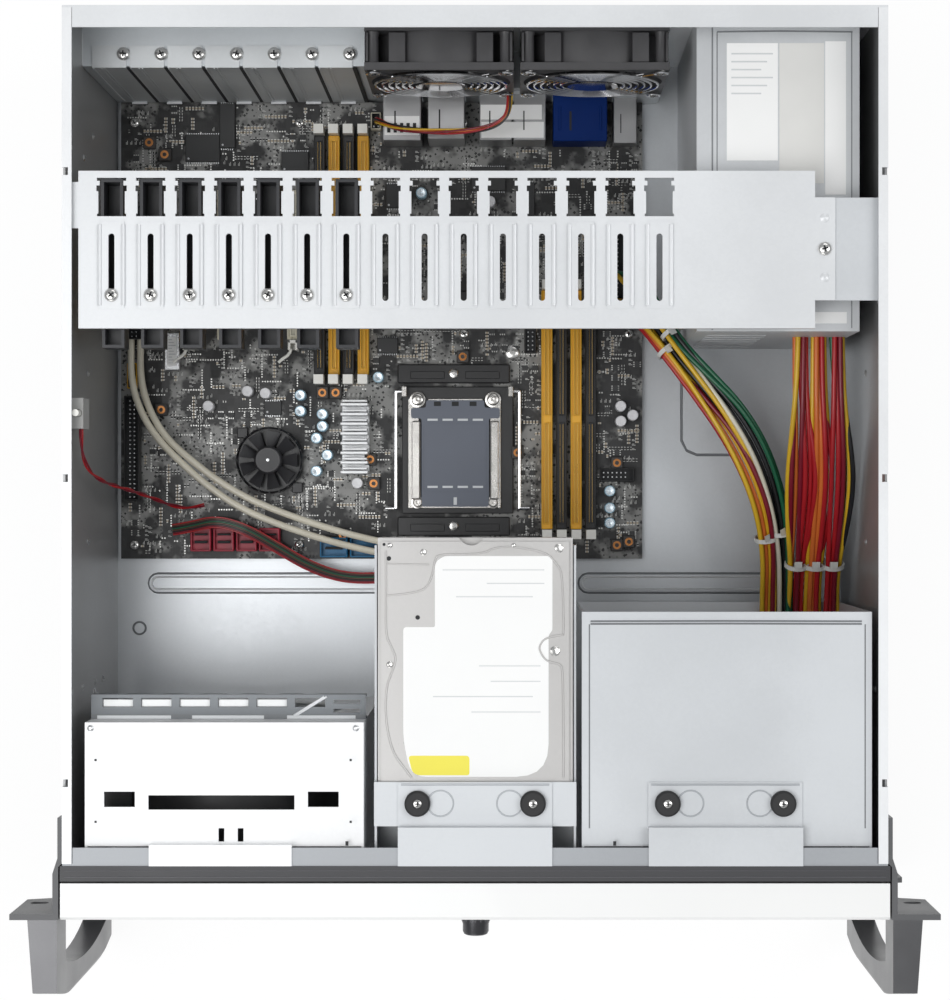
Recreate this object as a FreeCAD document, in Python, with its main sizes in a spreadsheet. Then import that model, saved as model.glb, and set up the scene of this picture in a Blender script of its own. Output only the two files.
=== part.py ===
import FreeCAD, Part
import math
import os
import re
import Sketcher
from FreeCAD import Placement, Rotation, Vector

# An open 4U rackmount server case, 19 inch ears, seen with its lid off.
# The frame: +X to the right, +Y to the rear, +Z up, with the origin at the
# middle of the case body's underside.  All lengths are in millimetres.

SIZES = [
    # folded sheet metal
    ("case_width", 428.0), ("case_depth", 446.0), ("case_height", 177.0),
    ("sheet_gauge", 1.2), ("rear_flange", 11.4), ("side_flange", 5.0),
    ("notch_depth", 4.0), ("notch_length", 4.0), ("flange_gap", 0.3),
    ("bead_width", 10.0), ("bead_rise", 1.6), ("bead_row", -82.0),
    # rear recess with card slots and port window
    ("recess_depth", 22.4), ("shelf_height", 124.0), ("port_shelf", 52.0),
    ("recess_step", -61.5), ("recess_right", 105.0),
    ("slot_first", -189.0), ("slot_pitch", 20.32), ("slot_offset", 8.9),
    ("slot_opening", 14.4), ("cover_width", 18.4), ("cover_gauge", 0.9),
    ("port_window_left", -57.3), ("port_window_right", 101.3),
    ("port_window_low", 5.0), ("port_window_high", 46.0), ("shield_gauge", 0.6),
    # pan head screws
    ("head_radius", 3.6), ("head_height", 2.0), ("shank_radius", 1.5),
    # hold-down bar and card retainers
    ("bar_left", -206.0), ("bar_right", 176.5), ("bar_front", 55.8), ("bar_rear", 137.6),
    ("bar_drop", 3.5), ("bar_fold", 4.0), ("window_front", 114.0), ("window_rear", 134.0),
    ("window_half", 7.6), ("channel_half", 6.8), ("channel_front", 66.0),
    ("channel_rear", 111.0), ("channel_rise", 0.6), ("bar_slot_width", 3.2),
    ("bar_slot_front", 70.0), ("bar_slot_rear", 105.0), ("bar_screw_row", 73.0),
    ("tongue_front", 70.4), ("tongue_rear", 123.8), ("tongue_end", 187.0),
    ("end_plate_left", 177.5), ("end_plate_drop", 18.0),
    ("retainer_width", 11.6), ("retainer_wall", 1.6), ("retainer_depth", 20.0),
    ("retainer_front", 46.0), ("seat_gap", 0.3),
    # rear fans
    ("fan_size", 80.0), ("fan_depth", 25.0), ("fan_bore", 38.0), ("fan_flange", 4.0),
    ("fan_left_x", -19.9), ("fan_spacing", 83.5), ("fan_height", 95.0),
    ("hub_radius", 15.0), ("blade_tip", 36.6), ("shaft_radius", 2.0), ("shaft_play", 0.1),
    ("wire_gauge", 1.5), ("rotor_gap", 1.0),
    # front fan and its cage
    ("front_fan_size", 120.0), ("front_fan_x", -132.0), ("front_fan_z", 82.0),
    ("front_fan_depth", 38.0), ("front_bore", 57.5), ("front_hub", 20.0),
    ("cage_drop", 5.4), ("fan_cage_left", -203.0), ("fan_cage_right", -58.0),
    ("fan_cage_rear", -149.0), ("cage_front", -213.4), ("guide_drop", 19.6),
    ("guide_depth", 13.0),
    # drive and its tray
    ("drive_width", 101.6), ("drive_length", 147.0), ("drive_thick", 26.1),
    ("drive_rear", -53.0), ("tray_gap", 0.6), ("tray_front", -203.0),
    ("bracket_rear", -180.0), ("bracket_half", 40.0), ("bracket_gauge", 1.0),
    ("bay_bracket_x", 130.0), ("grommet_reach", 30.0),
    ("grommet_row", -191.0),
    # drive bay cage
    ("bay_left", 55.5), ("bay_right", 206.3), ("bay_rear", -91.5), ("bay_floor", 44.0),
    ("bay_pitch", 42.2),
    # power supply
    ("supply_left", 116.7), ("supply_right", 202.7), ("supply_front", 55.8),
    ("supply_height", 150.0), ("supply_fan_x", 160.0),
    ("supply_fan_z", 100.0), ("supply_bore", 37.0),
    # motherboard
    ("board_left", -209.5), ("board_width", 305.0), ("board_depth", 267.0),
    ("board_thick", 1.6), ("standoff_height", 7.2), ("standoff_radius", 3.0),
    ("capacitor_radius", 3.2), ("capacitor_height", 10.0),
    ("socket_width", 6.4), ("socket_length", 139.0), ("socket_height", 9.0), ("lever_radius", 1.15),
    ("latch_height", 16.0), ("latch_length", 5.4), ("latch_width", 5.6),
    ("latch_play", 0.3),
    # front: bezel, door, lock, buttons
    ("bezel_depth", 8.0), ("bezel_margin", 1.2), ("door_margin", 1.0), ("door_rear", -232.0),
    ("door_front", -251.0), ("door_wall", 2.4), ("door_low", 2.0), ("door_drop", 0.4),
    ("hinge_y", -248.6), ("hinge_z", 6.0), ("pin_radius", 1.5), ("pin_play", 0.08),
    ("lock_height", 150.0), ("lock_radius", 7.3), ("lock_reach", 12.0),
    ("power_x", -20.0), ("reset_x", 18.0), ("button_z", 120.0),
    ("power_radius", 6.0), ("reset_radius", 3.0), ("button_play", 0.3),
    # ears and handles
    ("ear_margin", 8.75), ("ear_gauge", 3.0), ("arm_back", -198.0), ("arm_gauge", 2.4),
    ("cheek_margin", 2.0), ("cheek_gauge", 3.0), ("rack_offset", 18.55),
    ("rack_spacing", 101.6), ("rack_hole", 3.4), ("rack_slot", 9.6), ("waist_offset", 12.0),
    ("handle_offset", 2.6), ("handle_width", 15.4), ("handle_end", 40.0),
    ("handle_bow", 8.0), ("handle_grip", 15.0), ("arm_low", 20.0), ("arm_high", 26.0),
]

DERIVED = [
    ("half_width", "case_width / 2"),
    ("inner_half", "case_width / 2 - sheet_gauge"),
    ("rear_face", "case_depth / 2"),
    ("rear_inner", "case_depth / 2 - sheet_gauge"),
    ("front_face", "-case_depth / 2"),
    ("front_inner", "-case_depth / 2 + sheet_gauge"),
    ("rim_under", "case_height - sheet_gauge"),
    ("bar_top", "case_height - bar_drop"),
    ("cage_top", "case_height - cage_drop"),
    ("guide_height", "case_height - cage_drop - guide_drop"),
    ("door_high", "case_height - door_drop"),
    ("door_half", "half_width + door_margin"),
    ("bezel_half", "half_width + bezel_margin"),
    ("cheek_half", "half_width + cheek_margin"),
    ("rack_half", "half_width + rack_offset"),
    ("ear_reach", "half_width + rack_offset + ear_margin"),
    ("waist_reach", "half_width + waist_offset"),
    ("handle_inner", "half_width + handle_offset"),
    ("handle_outer", "half_width + handle_offset + handle_width"),
    ("flange_under", "case_height - bracket_gauge - sheet_gauge"),
    ("recess_plane", "case_depth / 2 - recess_depth"),
    ("recess_back", "case_depth / 2 - recess_depth + sheet_gauge"),
    ("supply_low", "sheet_gauge"),
    ("supply_high", "sheet_gauge + supply_height"),
    ("board_low", "sheet_gauge + standoff_height"),
    ("board_top", "sheet_gauge + standoff_height + board_thick"),
    ("board_right", "board_left + board_width"),
    ("board_rear", "case_depth / 2 - recess_depth - cover_gauge - 0.2"),
    ("board_front", "case_depth / 2 - recess_depth - cover_gauge - 0.2 - board_depth"),
    ("bar_under", "bar_top - sheet_gauge"),
    ("retainer_top", "bar_top - sheet_gauge - seat_gap"),
    ("fan_front", "case_depth / 2 - sheet_gauge - fan_depth"),
    ("bezel_front", "-case_depth / 2 - bezel_depth"),
    ("rack_middle", "case_height / 2"),
    ("drive_low", "cage_top - sheet_gauge - 1.0 - drive_thick"),
]

doc = FreeCAD.newDocument("rack_case")
sheet = doc.addObject("Spreadsheet::Sheet", "sizes")
places = doc.addObject("Spreadsheet::Sheet", "places")
NAMES = {name: "sizes" for name, number in SIZES}


def formula(text):
    """Point the bare size names in an expression at the sheets that hold them."""
    return re.sub(r"[a-z]+(?:_[a-z]+)+", lambda m: NAMES[m.group()] + "." + m.group(), str(text))


for row, (name, number) in enumerate(SIZES, 1):
    sheet.set("A%d" % row, name)
    sheet.set("B%d" % row, str(number))
    sheet.setAlias("B%d" % row, name)
for row, (name, text) in enumerate(DERIVED, 1):
    NAMES[name] = "places"
for row, (name, text) in enumerate(DERIVED, 1):
    places.set("A%d" % row, name)
    places.set("B%d" % row, "=" + formula(text).replace("places.", ""))
    places.setAlias("B%d" % row, name)
doc.recompute()


def mm(name):
    """A size or a place as a plain number of millimetres."""
    held = sheet if NAMES[name] == "sizes" else places
    return float(held.get(name))


parts = []


def keep(node, item):
    """Register a finished sub-part under the name that its file gets."""
    item.Label = node
    parts.append(item)
    return item


def bind(item, prop, text):
    item.setExpression(prop, formula(text))


def block(name, x, y, z):
    """A box between a low and a high expression on each axis."""
    item = doc.addObject("Part::Box", name)
    for prop, (low, high) in zip(("Length", "Width", "Height"), (x, y, z)):
        bind(item, prop, "(%s) - (%s)" % (high, low))
    for axis, (low, high) in zip("xyz", (x, y, z)):
        bind(item, "Placement.Base." + axis, low)
    return item


TURNS = {"X": Rotation(Vector(0, 1, 0), 90), "Y": Rotation(Vector(1, 0, 0), -90), "Z": Rotation()}


def rod(name, axis, x, y, z, radius):
    """A cylinder along one axis; the entry of that axis is a low and high pair."""
    item = doc.addObject("Part::Cylinder", name)
    item.Placement = Placement(Vector(), TURNS[axis])
    low, high = dict(zip("XYZ", (x, y, z)))[axis]
    starts = {letter: entry for letter, entry in zip("XYZ", (x, y, z))}
    starts[axis] = low
    bind(item, "Radius", radius)
    bind(item, "Height", "(%s) - (%s)" % (high, low))
    for letter in "XYZ":
        bind(item, "Placement.Base." + letter.lower(), starts[letter])
    return item


def fuse(name, items):
    """Join overlapping or touching items into one solid."""
    if len(items) == 1:
        return items[0]
    item = doc.addObject("Part::MultiFuse", name)
    item.Shapes = items
    item.Refine = True
    return item


def cut(name, base, tools):
    """Take the tools away from the base."""
    item = doc.addObject("Part::Cut", name)
    item.Base = base
    item.Tool = fuse(name + "_tools", tools)
    return item


def group(name, items):
    """Separate solids of like pieces, kept together in one file."""
    item = doc.addObject("Part::Compound", name)
    item.Links = items
    return item


def plain(name, shape):
    """A piece whose form comes from Part's own functions on the sheet's sizes."""
    item = doc.addObject("Part::Feature", name)
    item.Shape = shape
    item.Placement = shape.Placement
    return item


def body_plane(body, role):
    return [f for f in body.Origin.OriginFeatures if f.Role == role][0]


def trace(body, role, points, lift="0"):
    """A closed outline on one of the body's own planes, each corner bound to the sheet."""
    sketch = body.newObject("Sketcher::SketchObject", body.Name + "_outline")
    sketch.AttachmentSupport = (body_plane(body, role), [""])
    sketch.MapMode = "FlatFace"
    bind(sketch, ".AttachmentOffset.Base.z", lift)
    count = len(points)
    spots = [Vector(9 * math.cos(2 * math.pi * i / count), 9 * math.sin(2 * math.pi * i / count), 0)
             for i in range(count)]
    for i in range(count):
        sketch.addGeometry(Part.LineSegment(spots[i], spots[(i + 1) % count]), False)
    for i in range(count):
        sketch.addConstraint(Sketcher.Constraint("Coincident", i, 2, (i + 1) % count, 1))
    for i, corner in enumerate(points):
        for kind, text in zip(("DistanceX", "DistanceY"), corner):
            index = sketch.addConstraint(Sketcher.Constraint(kind, i, 1, 1.0))
            bind(sketch, "Constraints[%d]" % index, text)
    return sketch


def ring_sketch(body, role, x, y, radius, lift="0"):
    """A circle on one of the body's own planes."""
    sketch = body.newObject("Sketcher::SketchObject", body.Name + "_ring")
    sketch.AttachmentSupport = (body_plane(body, role), [""])
    sketch.MapMode = "FlatFace"
    bind(sketch, ".AttachmentOffset.Base.z", lift)
    sketch.addGeometry(Part.Circle(Vector(1, 1, 0), Vector(0, 0, 1), 1.0), False)
    for kind, text in (("DistanceX", x), ("DistanceY", y)):
        index = sketch.addConstraint(Sketcher.Constraint(kind, 0, 3, 1.0))
        bind(sketch, "Constraints[%d]" % index, text)
    index = sketch.addConstraint(Sketcher.Constraint("Radius", 0, 1.0))
    bind(sketch, "Constraints[%d]" % index, radius)
    return sketch


def pad(body, sketch, length, symmetric=False):
    feature = body.newObject("PartDesign::Pad", body.Name + "_pad")
    feature.Profile = sketch
    bind(feature, "Length", length)
    feature.Midplane = symmetric
    return feature


def pocket(body, sketch, length, reverse=False, symmetric=False):
    feature = body.newObject("PartDesign::Pocket", body.Name + "_pocket")
    feature.Profile = sketch
    bind(feature, "Length", length)
    feature.Reversed = reverse
    feature.Midplane = symmetric
    return feature


def new_body(name):
    return doc.addObject("PartDesign::Body", name)


def rectangle(x, y):
    """The four corners of a rectangle between two pairs."""
    return [(x[0], y[0]), (x[1], y[0]), (x[1], y[1]), (x[0], y[1])]


# base floor: the bottom of the pan, with embossed beads and pressed-in standoffs
floor = new_body("floor")
pad(floor, trace(floor, "XZ_Plane", rectangle(("-half_width", "half_width"), ("0", "sheet_gauge"))),
    "case_depth - 2 * sheet_gauge", symmetric=True)
for left, right in (("-189", "-62"), ("64", "186")):
    bead = rectangle((left, right), ("bead_row - bead_width / 2", "bead_row + bead_width / 2"))
    pad(floor, trace(floor, "XY_Plane", bead, "sheet_gauge"), "bead_rise")
    for end in (left, right):
        pad(floor, ring_sketch(floor, "XY_Plane", end, "bead_row", "bead_width / 2", "sheet_gauge"),
            "bead_rise")
standoffs = []
for i in range(4):
    for j in range(3):
        standoffs.append(rod("standoff_%d_%d" % (i, j), "Z",
                             "board_left + 8 + %d * (board_width - 16) / 3" % i,
                             "board_front + 8 + %d * (board_depth - 20) / 2" % j,
                             ("0.4", "board_low"), "standoff_radius"))
keep("base_floor", fuse("floor_with_standoffs", [floor] + standoffs))

# side walls: the pan's two upright sides, each with a notched flange folded in at the top
walls = []
for name, side in (("left", -1), ("right", 1)):
    wall = new_body("wall_" + name)
    pad(wall, trace(wall, "XZ_Plane", [
        ("%d * inner_half" % side, "sheet_gauge"), ("%d * half_width" % side, "sheet_gauge"),
        ("%d * half_width" % side, "case_height"),
        ("%d * (half_width - side_flange)" % side, "case_height"),
        ("%d * (half_width - side_flange)" % side, "rim_under"), ("%d * inner_half" % side, "rim_under"),
    ]), "case_depth - 2 * sheet_gauge", symmetric=True)
    for row in (137, -22, -180):
        notch = rectangle(("%d * (half_width - 3.2)" % side, "%d * (half_width + 1)" % side),
                          ("%d - notch_length / 2" % row, "%d + notch_length / 2" % row))
        pocket(wall, trace(wall, "XY_Plane", notch, "case_height"), "notch_depth")
    walls.append(wall)
keep("side_walls", group("wall_pair", walls))


def case_x(k, shift="0"):
    """The card plane of slot k, moved sideways by a shift."""
    return "slot_first + %d * slot_pitch + %s" % (k, shift)


SLOTS = 7
POSITIONS = 15

# rear panel with its top lip, and openings for cards, ports, fans and power supply
rear_sheet = fuse("rear_sheet", [
    block("rear_plate", ("-half_width", "half_width"), ("rear_inner", "rear_face"),
          ("0", "case_height")),
    block("rear_lip", ("side_flange + flange_gap - half_width", "half_width - side_flange - flange_gap"),
          ("rear_face - rear_flange", "rear_face"), ("rim_under", "case_height")),
])
rear_openings = [
    block("card_opening", ("-inner_half + 4", "recess_step - 1.5"), ("rear_inner - 1", "rear_face + 1"),
          ("5", "shelf_height - 2 * sheet_gauge")),
    block("port_opening", ("recess_step - 2", "recess_right - 2 * sheet_gauge"),
          ("rear_inner - 1", "rear_face + 1"), ("5", "port_shelf - 2 * sheet_gauge")),
    block("supply_opening", ("supply_left + 4", "supply_right - 4"), ("rear_inner - 1", "rear_face + 1"),
          ("supply_low + 6", "supply_high - 6")),
]
for k in range(2):
    rear_openings.append(rod("fan_opening_%d" % k, "Y", "fan_left_x + %d * fan_spacing" % k,
                             ("rear_inner - 1", "rear_face + 1"), "fan_height", "fan_bore"))
keep("rear_panel", cut("rear_panel_cut", rear_sheet, rear_openings))

# rear recess: card wall, port wall and the shelves that close it above
recess = fuse("recess_sheet", [
    block("card_wall", ("flange_gap - inner_half", "recess_step + sheet_gauge"),
          ("recess_plane", "recess_back"), ("sheet_gauge", "shelf_height")),
    block("card_shelf", ("flange_gap - inner_half", "recess_step + sheet_gauge"),
          ("recess_plane", "rear_inner"), ("shelf_height - sheet_gauge", "shelf_height")),
    block("port_wall", ("recess_step", "recess_right"), ("recess_plane", "recess_back"),
          ("sheet_gauge", "port_shelf")),
    block("port_roof", ("recess_step", "recess_right"), ("recess_plane", "rear_inner"),
          ("port_shelf - sheet_gauge", "port_shelf")),
    block("step_wall", ("recess_step", "recess_step + sheet_gauge"), ("recess_plane", "rear_inner"),
          ("port_shelf - sheet_gauge", "shelf_height")),
    block("end_wall", ("recess_right - sheet_gauge", "recess_right"), ("recess_plane", "rear_inner"),
          ("sheet_gauge", "port_shelf")),
])
recess_tools = [block("port_window", ("port_window_left", "port_window_right"),
                      ("recess_plane - 1", "recess_back + 1"), ("port_window_low", "port_window_high"))]
for k in range(SLOTS):
    middle = case_x(k, "-slot_offset")
    recess_tools.append(block("card_window_%d" % k,
                              (middle + " - slot_opening / 2", middle + " + slot_opening / 2"),
                              ("recess_plane - 1", "recess_back + 1"), ("12", "shelf_height - 8")))
    recess_tools.append(rod("tab_hole_%d" % k, "Z", case_x(k, "-1.2"), "recess_plane + 6.4",
                            ("shelf_height - 2", "shelf_height + 1"), "shank_radius + seat_gap"))
recess_solid = cut("rear_recess_cut", recess, recess_tools)

# rear ports on the board's edge, and the thin shield that they pass through
PORTS = [("serial", -55.0, 22.0, 26.0), ("stack", -29.0, 21.0, 31.0), ("network_a", 0.5, 18.7, 26.0),
         ("network_b", 20.2, 18.4, 26.0), ("video", 43.0, 31.0, 24.0), ("round", 78.0, 13.5, 14.0)]
port_items = {}
shield_tools = []
for name, left, width, height in PORTS:
    port_items[name] = block("port_" + name, (left, left + width), ("board_rear - 26", "recess_back + 0.8"),
                             ("board_top", "board_top + %s" % height))
    shield_tools.append(block("hole_" + name, (left - 0.4, left + width + 0.4),
                              ("recess_plane - 2", "recess_plane + 1"),
                              ("board_top - 0.4", "board_top + %s" % (height + 0.4))))
keep("rear_ports", group("rear_port_group", list(port_items.values())))
shield = block("shield_plate", ("port_window_left - 2", "port_window_right + 2"),
               ("recess_plane - shield_gauge", "recess_plane"),
               ("port_window_low - 2", "port_window_high + 2"))
keep("rear_recess", group("rear_recess_group",
                          [recess_solid, cut("port_shield_cut", shield, shield_tools)]))

# slot covers: bent blanking plates with an open screw notch in the tab
covers = []
for k in range(SLOTS):
    middle = case_x(k, "-slot_offset")
    span = (middle + " - cover_width / 2", middle + " + cover_width / 2")
    bent = fuse("cover_%d" % k, [
        block("cover_face_%d" % k, span, ("recess_plane - cover_gauge", "recess_plane"),
              ("9", "shelf_height + cover_gauge")),
        block("cover_tab_%d" % k, span, ("recess_plane - cover_gauge", "recess_plane + 11"),
              ("shelf_height", "shelf_height + cover_gauge")),
    ])
    notch = rod("cover_notch_%d" % k, "Z", case_x(k, "-1.2"), "recess_plane + 6.4",
                ("shelf_height - 1", "shelf_height + 2"), "shank_radius + seat_gap")
    covers.append(cut("cover_cut_%d" % k, bent, [notch]))
keep("slot_covers", group("cover_group", covers))


def screw(x, y, z, shank, turn=Rotation()):
    """A pan head screw with its head's seat at the given point and its shank below."""
    radius, height = mm("head_radius"), mm("head_height")
    head = Part.makeCylinder(radius, height)
    crown = [edge for edge in head.Edges if abs(edge.CenterOfMass.z - height) < 0.01 and edge.Closed]
    head = head.makeChamfer(height * 0.4, crown)
    body = head.fuse(Part.makeCylinder(mm("shank_radius"), shank + 0.5, Vector(0, 0, -shank)))
    body.Placement = Placement(Vector(x, y, z), turn)
    return body


tab_top = mm("shelf_height") + mm("cover_gauge")
screws = [
    screw(mm("slot_first") + k * mm("slot_pitch") - 1.2, mm("recess_plane") + 6.4, tab_top, 5)
    for k in range(SLOTS)]

# hold-down bar: a folded channel with notched windows and slotted, embossed channels
bar = new_body("bar")
pad(bar, trace(bar, "YZ_Plane", [
    ("bar_front", "bar_top - bar_fold"), ("bar_front + sheet_gauge", "bar_top - bar_fold"),
    ("bar_front + sheet_gauge", "bar_under"), ("bar_rear - sheet_gauge", "bar_under"),
    ("bar_rear - sheet_gauge", "bar_top - bar_fold"), ("bar_rear", "bar_top - bar_fold"),
    ("bar_rear", "bar_top"), ("bar_front", "bar_top"),
], "bar_left"), "bar_right - bar_left")
for x, y in ((("bar_right - 1", "tongue_end"), ("tongue_front", "tongue_rear")),
             (("flange_gap - inner_half", "bar_left + 1"), ("tongue_rear - 16", "tongue_rear + 8"))):
    pad(bar, trace(bar, "XY_Plane", rectangle(x, y), "bar_under"), "sheet_gauge")
pocket(bar, ring_sketch(bar, "XY_Plane", "tongue_end - 5.5", "(tongue_front + tongue_rear) / 2",
                        "shank_radius + seat_gap", "bar_top + 1"), "5")
middle = case_x(0, "0.2")
channel = pad(bar, trace(bar, "XY_Plane", rectangle(
    (middle + " - channel_half", middle + " + channel_half"), ("channel_front", "channel_rear")),
    "bar_top"), "channel_rise")
NOTCHES = [("window_rear", "window_half"), ("window_rear - 1.6", "window_half - 1.4"),
           ("window_rear - 4", "window_half + 0.3"), ("window_rear - 7", "window_half - 0.7"),
           ("window_front + 1.4", "window_half")]
edges = [row for row, half in NOTCHES] + ["window_front"]
right_side = []
left_side = []
for (high, half), low in zip(NOTCHES, edges[1:]):
    right_side += [("%s + (%s)" % (middle, half), high), ("%s + (%s)" % (middle, half), low)]
    left_side += [("%s - (%s)" % (middle, half), high), ("%s - (%s)" % (middle, half), low)]
outline = right_side + left_side[::-1]
window = pocket(bar, trace(bar, "XY_Plane", outline, "bar_top + 1"), "4")
openings = [pocket(bar, trace(bar, "XY_Plane", rectangle(
    (middle + " - bar_slot_width / 2", middle + " + bar_slot_width / 2"),
    ("bar_slot_front + bar_slot_width / 2", "bar_slot_rear - bar_slot_width / 2")), "bar_top + 2"), "5")]
for row in ("bar_slot_front + bar_slot_width / 2", "bar_slot_rear - bar_slot_width / 2"):
    openings.append(pocket(bar, ring_sketch(bar, "XY_Plane", middle, row, "bar_slot_width / 2",
                                            "bar_top + 2"), "5"))
doc.recompute()
repeat = bar.newObject("PartDesign::LinearPattern", "bar_positions")
repeat.Originals = [channel, window] + openings
repeat.Direction = (body_plane(bar, "X_Axis"), [""])
repeat.Occurrences = POSITIONS
bind(repeat, "Length", "%d * slot_pitch" % (POSITIONS - 1))
bar.Tip = repeat
keep("hold_down_bar", bar)

# card retainers: moulded fingers, hollow from above, one under each card position
retainers = []
for k in range(SLOTS):
    middle = case_x(k, "0.2")
    outer = (middle + " - retainer_width / 2", middle + " + retainer_width / 2")
    inner = (middle + " - retainer_width / 2 + retainer_wall",
             middle + " + retainer_width / 2 - retainer_wall")
    finger = fuse("finger_%d" % k, [
        block("finger_rear_%d" % k, outer, ("bar_front + 2.2", "window_rear - 0.5"),
              ("retainer_top - retainer_depth", "retainer_top")),
        block("finger_front_%d" % k, outer, ("retainer_front", "bar_front + 4"),
              ("retainer_top - retainer_depth", "bar_top - bar_fold - 1.5")),
    ])
    retainers.append(cut("retainer_%d" % k, finger, [
        block("finger_well_%d" % k, inner, ("bar_front + 4", "window_rear - 2.1"),
              ("retainer_top - retainer_depth + 4", "retainer_top + 1")),
        block("finger_cup_%d" % k, inner, ("retainer_front + retainer_wall", "bar_front + 0.6"),
              ("retainer_top - retainer_depth + 6", "bar_top")),
    ]))
keep("card_retainers", group("retainer_group", retainers))

# bar end plate on the right wall, and the bar's screws
end_plate = fuse("end_plate_sheet", [
    block("end_plate_top", ("end_plate_left", "inner_half"), ("tongue_front", "tongue_rear"),
          ("bar_under - sheet_gauge", "bar_under")),
    block("end_plate_leg", ("inner_half - sheet_gauge", "inner_half"), ("tongue_front", "tongue_rear"),
          ("bar_under - end_plate_drop", "bar_under")),
])
end_plate = cut("end_plate_cut", end_plate, [
    rod("end_plate_hole", "Z", "tongue_end - 5.5", "(tongue_front + tongue_rear) / 2",
        ("bar_under - 3", "bar_under + 1"), "shank_radius + seat_gap")])
screws += [screw(mm("slot_first") + 0.2 + k * mm("slot_pitch"), mm("bar_screw_row"),
                 mm("bar_top") + mm("channel_rise"), 8) for k in range(SLOTS)]
screws.append(screw(mm("tongue_end") - 5.5, (mm("tongue_front") + mm("tongue_rear")) / 2, mm("bar_top"), 6))


def fan_frame(name, x, y, z, size, bore, hub):
    """An axial fan's frame along Y: two square flanges, a round duct, a motor seat and four arms."""
    low, high = y
    sides = ("%s - %s / 2" % (x, size), "%s + %s / 2" % (x, size))
    tall = ("%s - %s / 2" % (z, size), "%s + %s / 2" % (z, size))
    shell = fuse(name + "_shell", [
        block(name + "_flange_a", sides, (low, low + " + fan_flange"), tall),
        block(name + "_flange_b", sides, (high + " - fan_flange", high), tall),
        rod(name + "_duct", "Y", x, (low, high), z, "%s / 2 - 0.3" % size),
    ])
    open_shell = cut(name + "_open", shell,
                     [rod(name + "_bore", "Y", x, (low + " - 1", high + " + 1"), z, bore)])
    arm = (high + " - fan_flange + 1", high)
    seat = (high + " - fan_flange", high)
    joined = fuse(name + "_joined", [
        open_shell,
        rod(name + "_seat", "Y", x, seat, z, hub),
        block(name + "_arm_a", ("%s - 2" % x, "%s + 2" % x), arm,
              ("%s - %s - 0.8" % (z, bore), "%s + %s + 0.8" % (z, bore))),
        block(name + "_arm_b", ("%s - %s - 0.8" % (x, bore), "%s + %s + 0.8" % (x, bore)), arm,
              ("%s - 2" % z, "%s + 2" % z)),
    ])
    hole = rod(name + "_hole", "Y", x, (high + " - fan_flange - 1", high + " + 1"), z,
               "shaft_radius + shaft_play")
    return cut(name, joined, [hole])


def rotor(centre, turn, hub, tip, depth, count, shaft):
    """A fan rotor: a chamfered hub, twisted blades lofted along the radius, and a shaft below it."""
    drum = Part.makeCylinder(hub, depth)
    rim = [edge for edge in drum.Edges if edge.Closed and abs(edge.CenterOfMass.z - depth) < 0.01]
    pieces = [drum.makeChamfer(min(1.2, hub / 8), rim)]
    for k in range(count):
        sections = []
        for radius, share, pitch in ((hub - 0.8, 0.36, 42), (tip, 0.34, 27)):
            sweep = 2 * math.pi / count * share
            rise = min(depth / 2 - 1.2, radius * sweep * math.tan(math.radians(pitch)))
            turned = 2 * math.pi * k / count
            corners = []
            for side, lift in ((-1, -0.6), (1, -0.6), (1, 0.6), (-1, 0.6)):
                angle = turned + side * sweep
                corners.append(Vector(radius * math.cos(angle), radius * math.sin(angle),
                                      depth / 2 + side * rise + lift))
            sections.append(Part.makePolygon(corners + corners[:1]))
        pieces.append(Part.makeLoft(sections, True, True))
    pieces.append(Part.makeCylinder(mm("shaft_radius"), shaft + 1, Vector(0, 0, -shaft)))
    whole = pieces[0].fuse(pieces[1:])
    whole.Placement = Placement(centre, turn)
    return whole


INWARD = Rotation(Vector(1, 0, 0), 90)


def wire_guard(centre, turn, radii, reach, disc):
    """A finger guard: flat rings on two crossed arms with a disc in the middle."""
    gauge = mm("wire_gauge")
    pieces = [Part.makeCylinder(disc, gauge, Vector(0, 0, gauge * 0.6))]
    for radius in radii:
        ring = Part.makeCylinder(radius + gauge / 2, gauge, Vector(0, 0, gauge * 0.6))
        pieces.append(ring.cut(Part.makeCylinder(radius - gauge / 2, 3 * gauge, Vector(0, 0, -gauge))))
    for angle in (45, 135):
        arm = Part.makeBox(2 * reach, gauge * 1.2, gauge, Vector(-reach, -gauge * 0.6, 0))
        arm.rotate(Vector(), Vector(0, 0, 1), angle)
        pieces.append(arm)
    guard = pieces[0].fuse(pieces[1:])
    guard.Placement = Placement(centre, turn)
    return guard


# two rear fans on the rear panel, with their rotors and wire guards
frames = []
guards = []
for k, side in enumerate(("left", "right")):
    x = "fan_left_x + %d * fan_spacing" % k
    frames.append(fan_frame("rear_fan_%s" % side, x, ("fan_front", "rear_inner"), "fan_height",
                            "fan_size", "fan_bore", "hub_radius"))
    middle = Vector(mm("fan_left_x") + k * mm("fan_spacing"), mm("rear_inner"), mm("fan_height"))
    hub_back = middle - Vector(0, mm("fan_flange") + mm("rotor_gap"), 0)
    depth = mm("fan_depth") - mm("fan_flange") - 2 * mm("rotor_gap")
    keep("rear_rotor_" + side, plain("rotor_" + side, rotor(
        hub_back, INWARD, mm("hub_radius"), mm("blade_tip"), depth, 7, mm("fan_flange") + 0.5)))
    front = Vector(middle.x, mm("fan_front"), middle.z)
    reach = mm("fan_size") * 0.5 * 1.25
    guards.append(wire_guard(front, INWARD, [15, 21.5, 28, 34.5], reach, 8.5))
keep("rear_fan_frames", group("rear_fan_frame_pair", frames))

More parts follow.
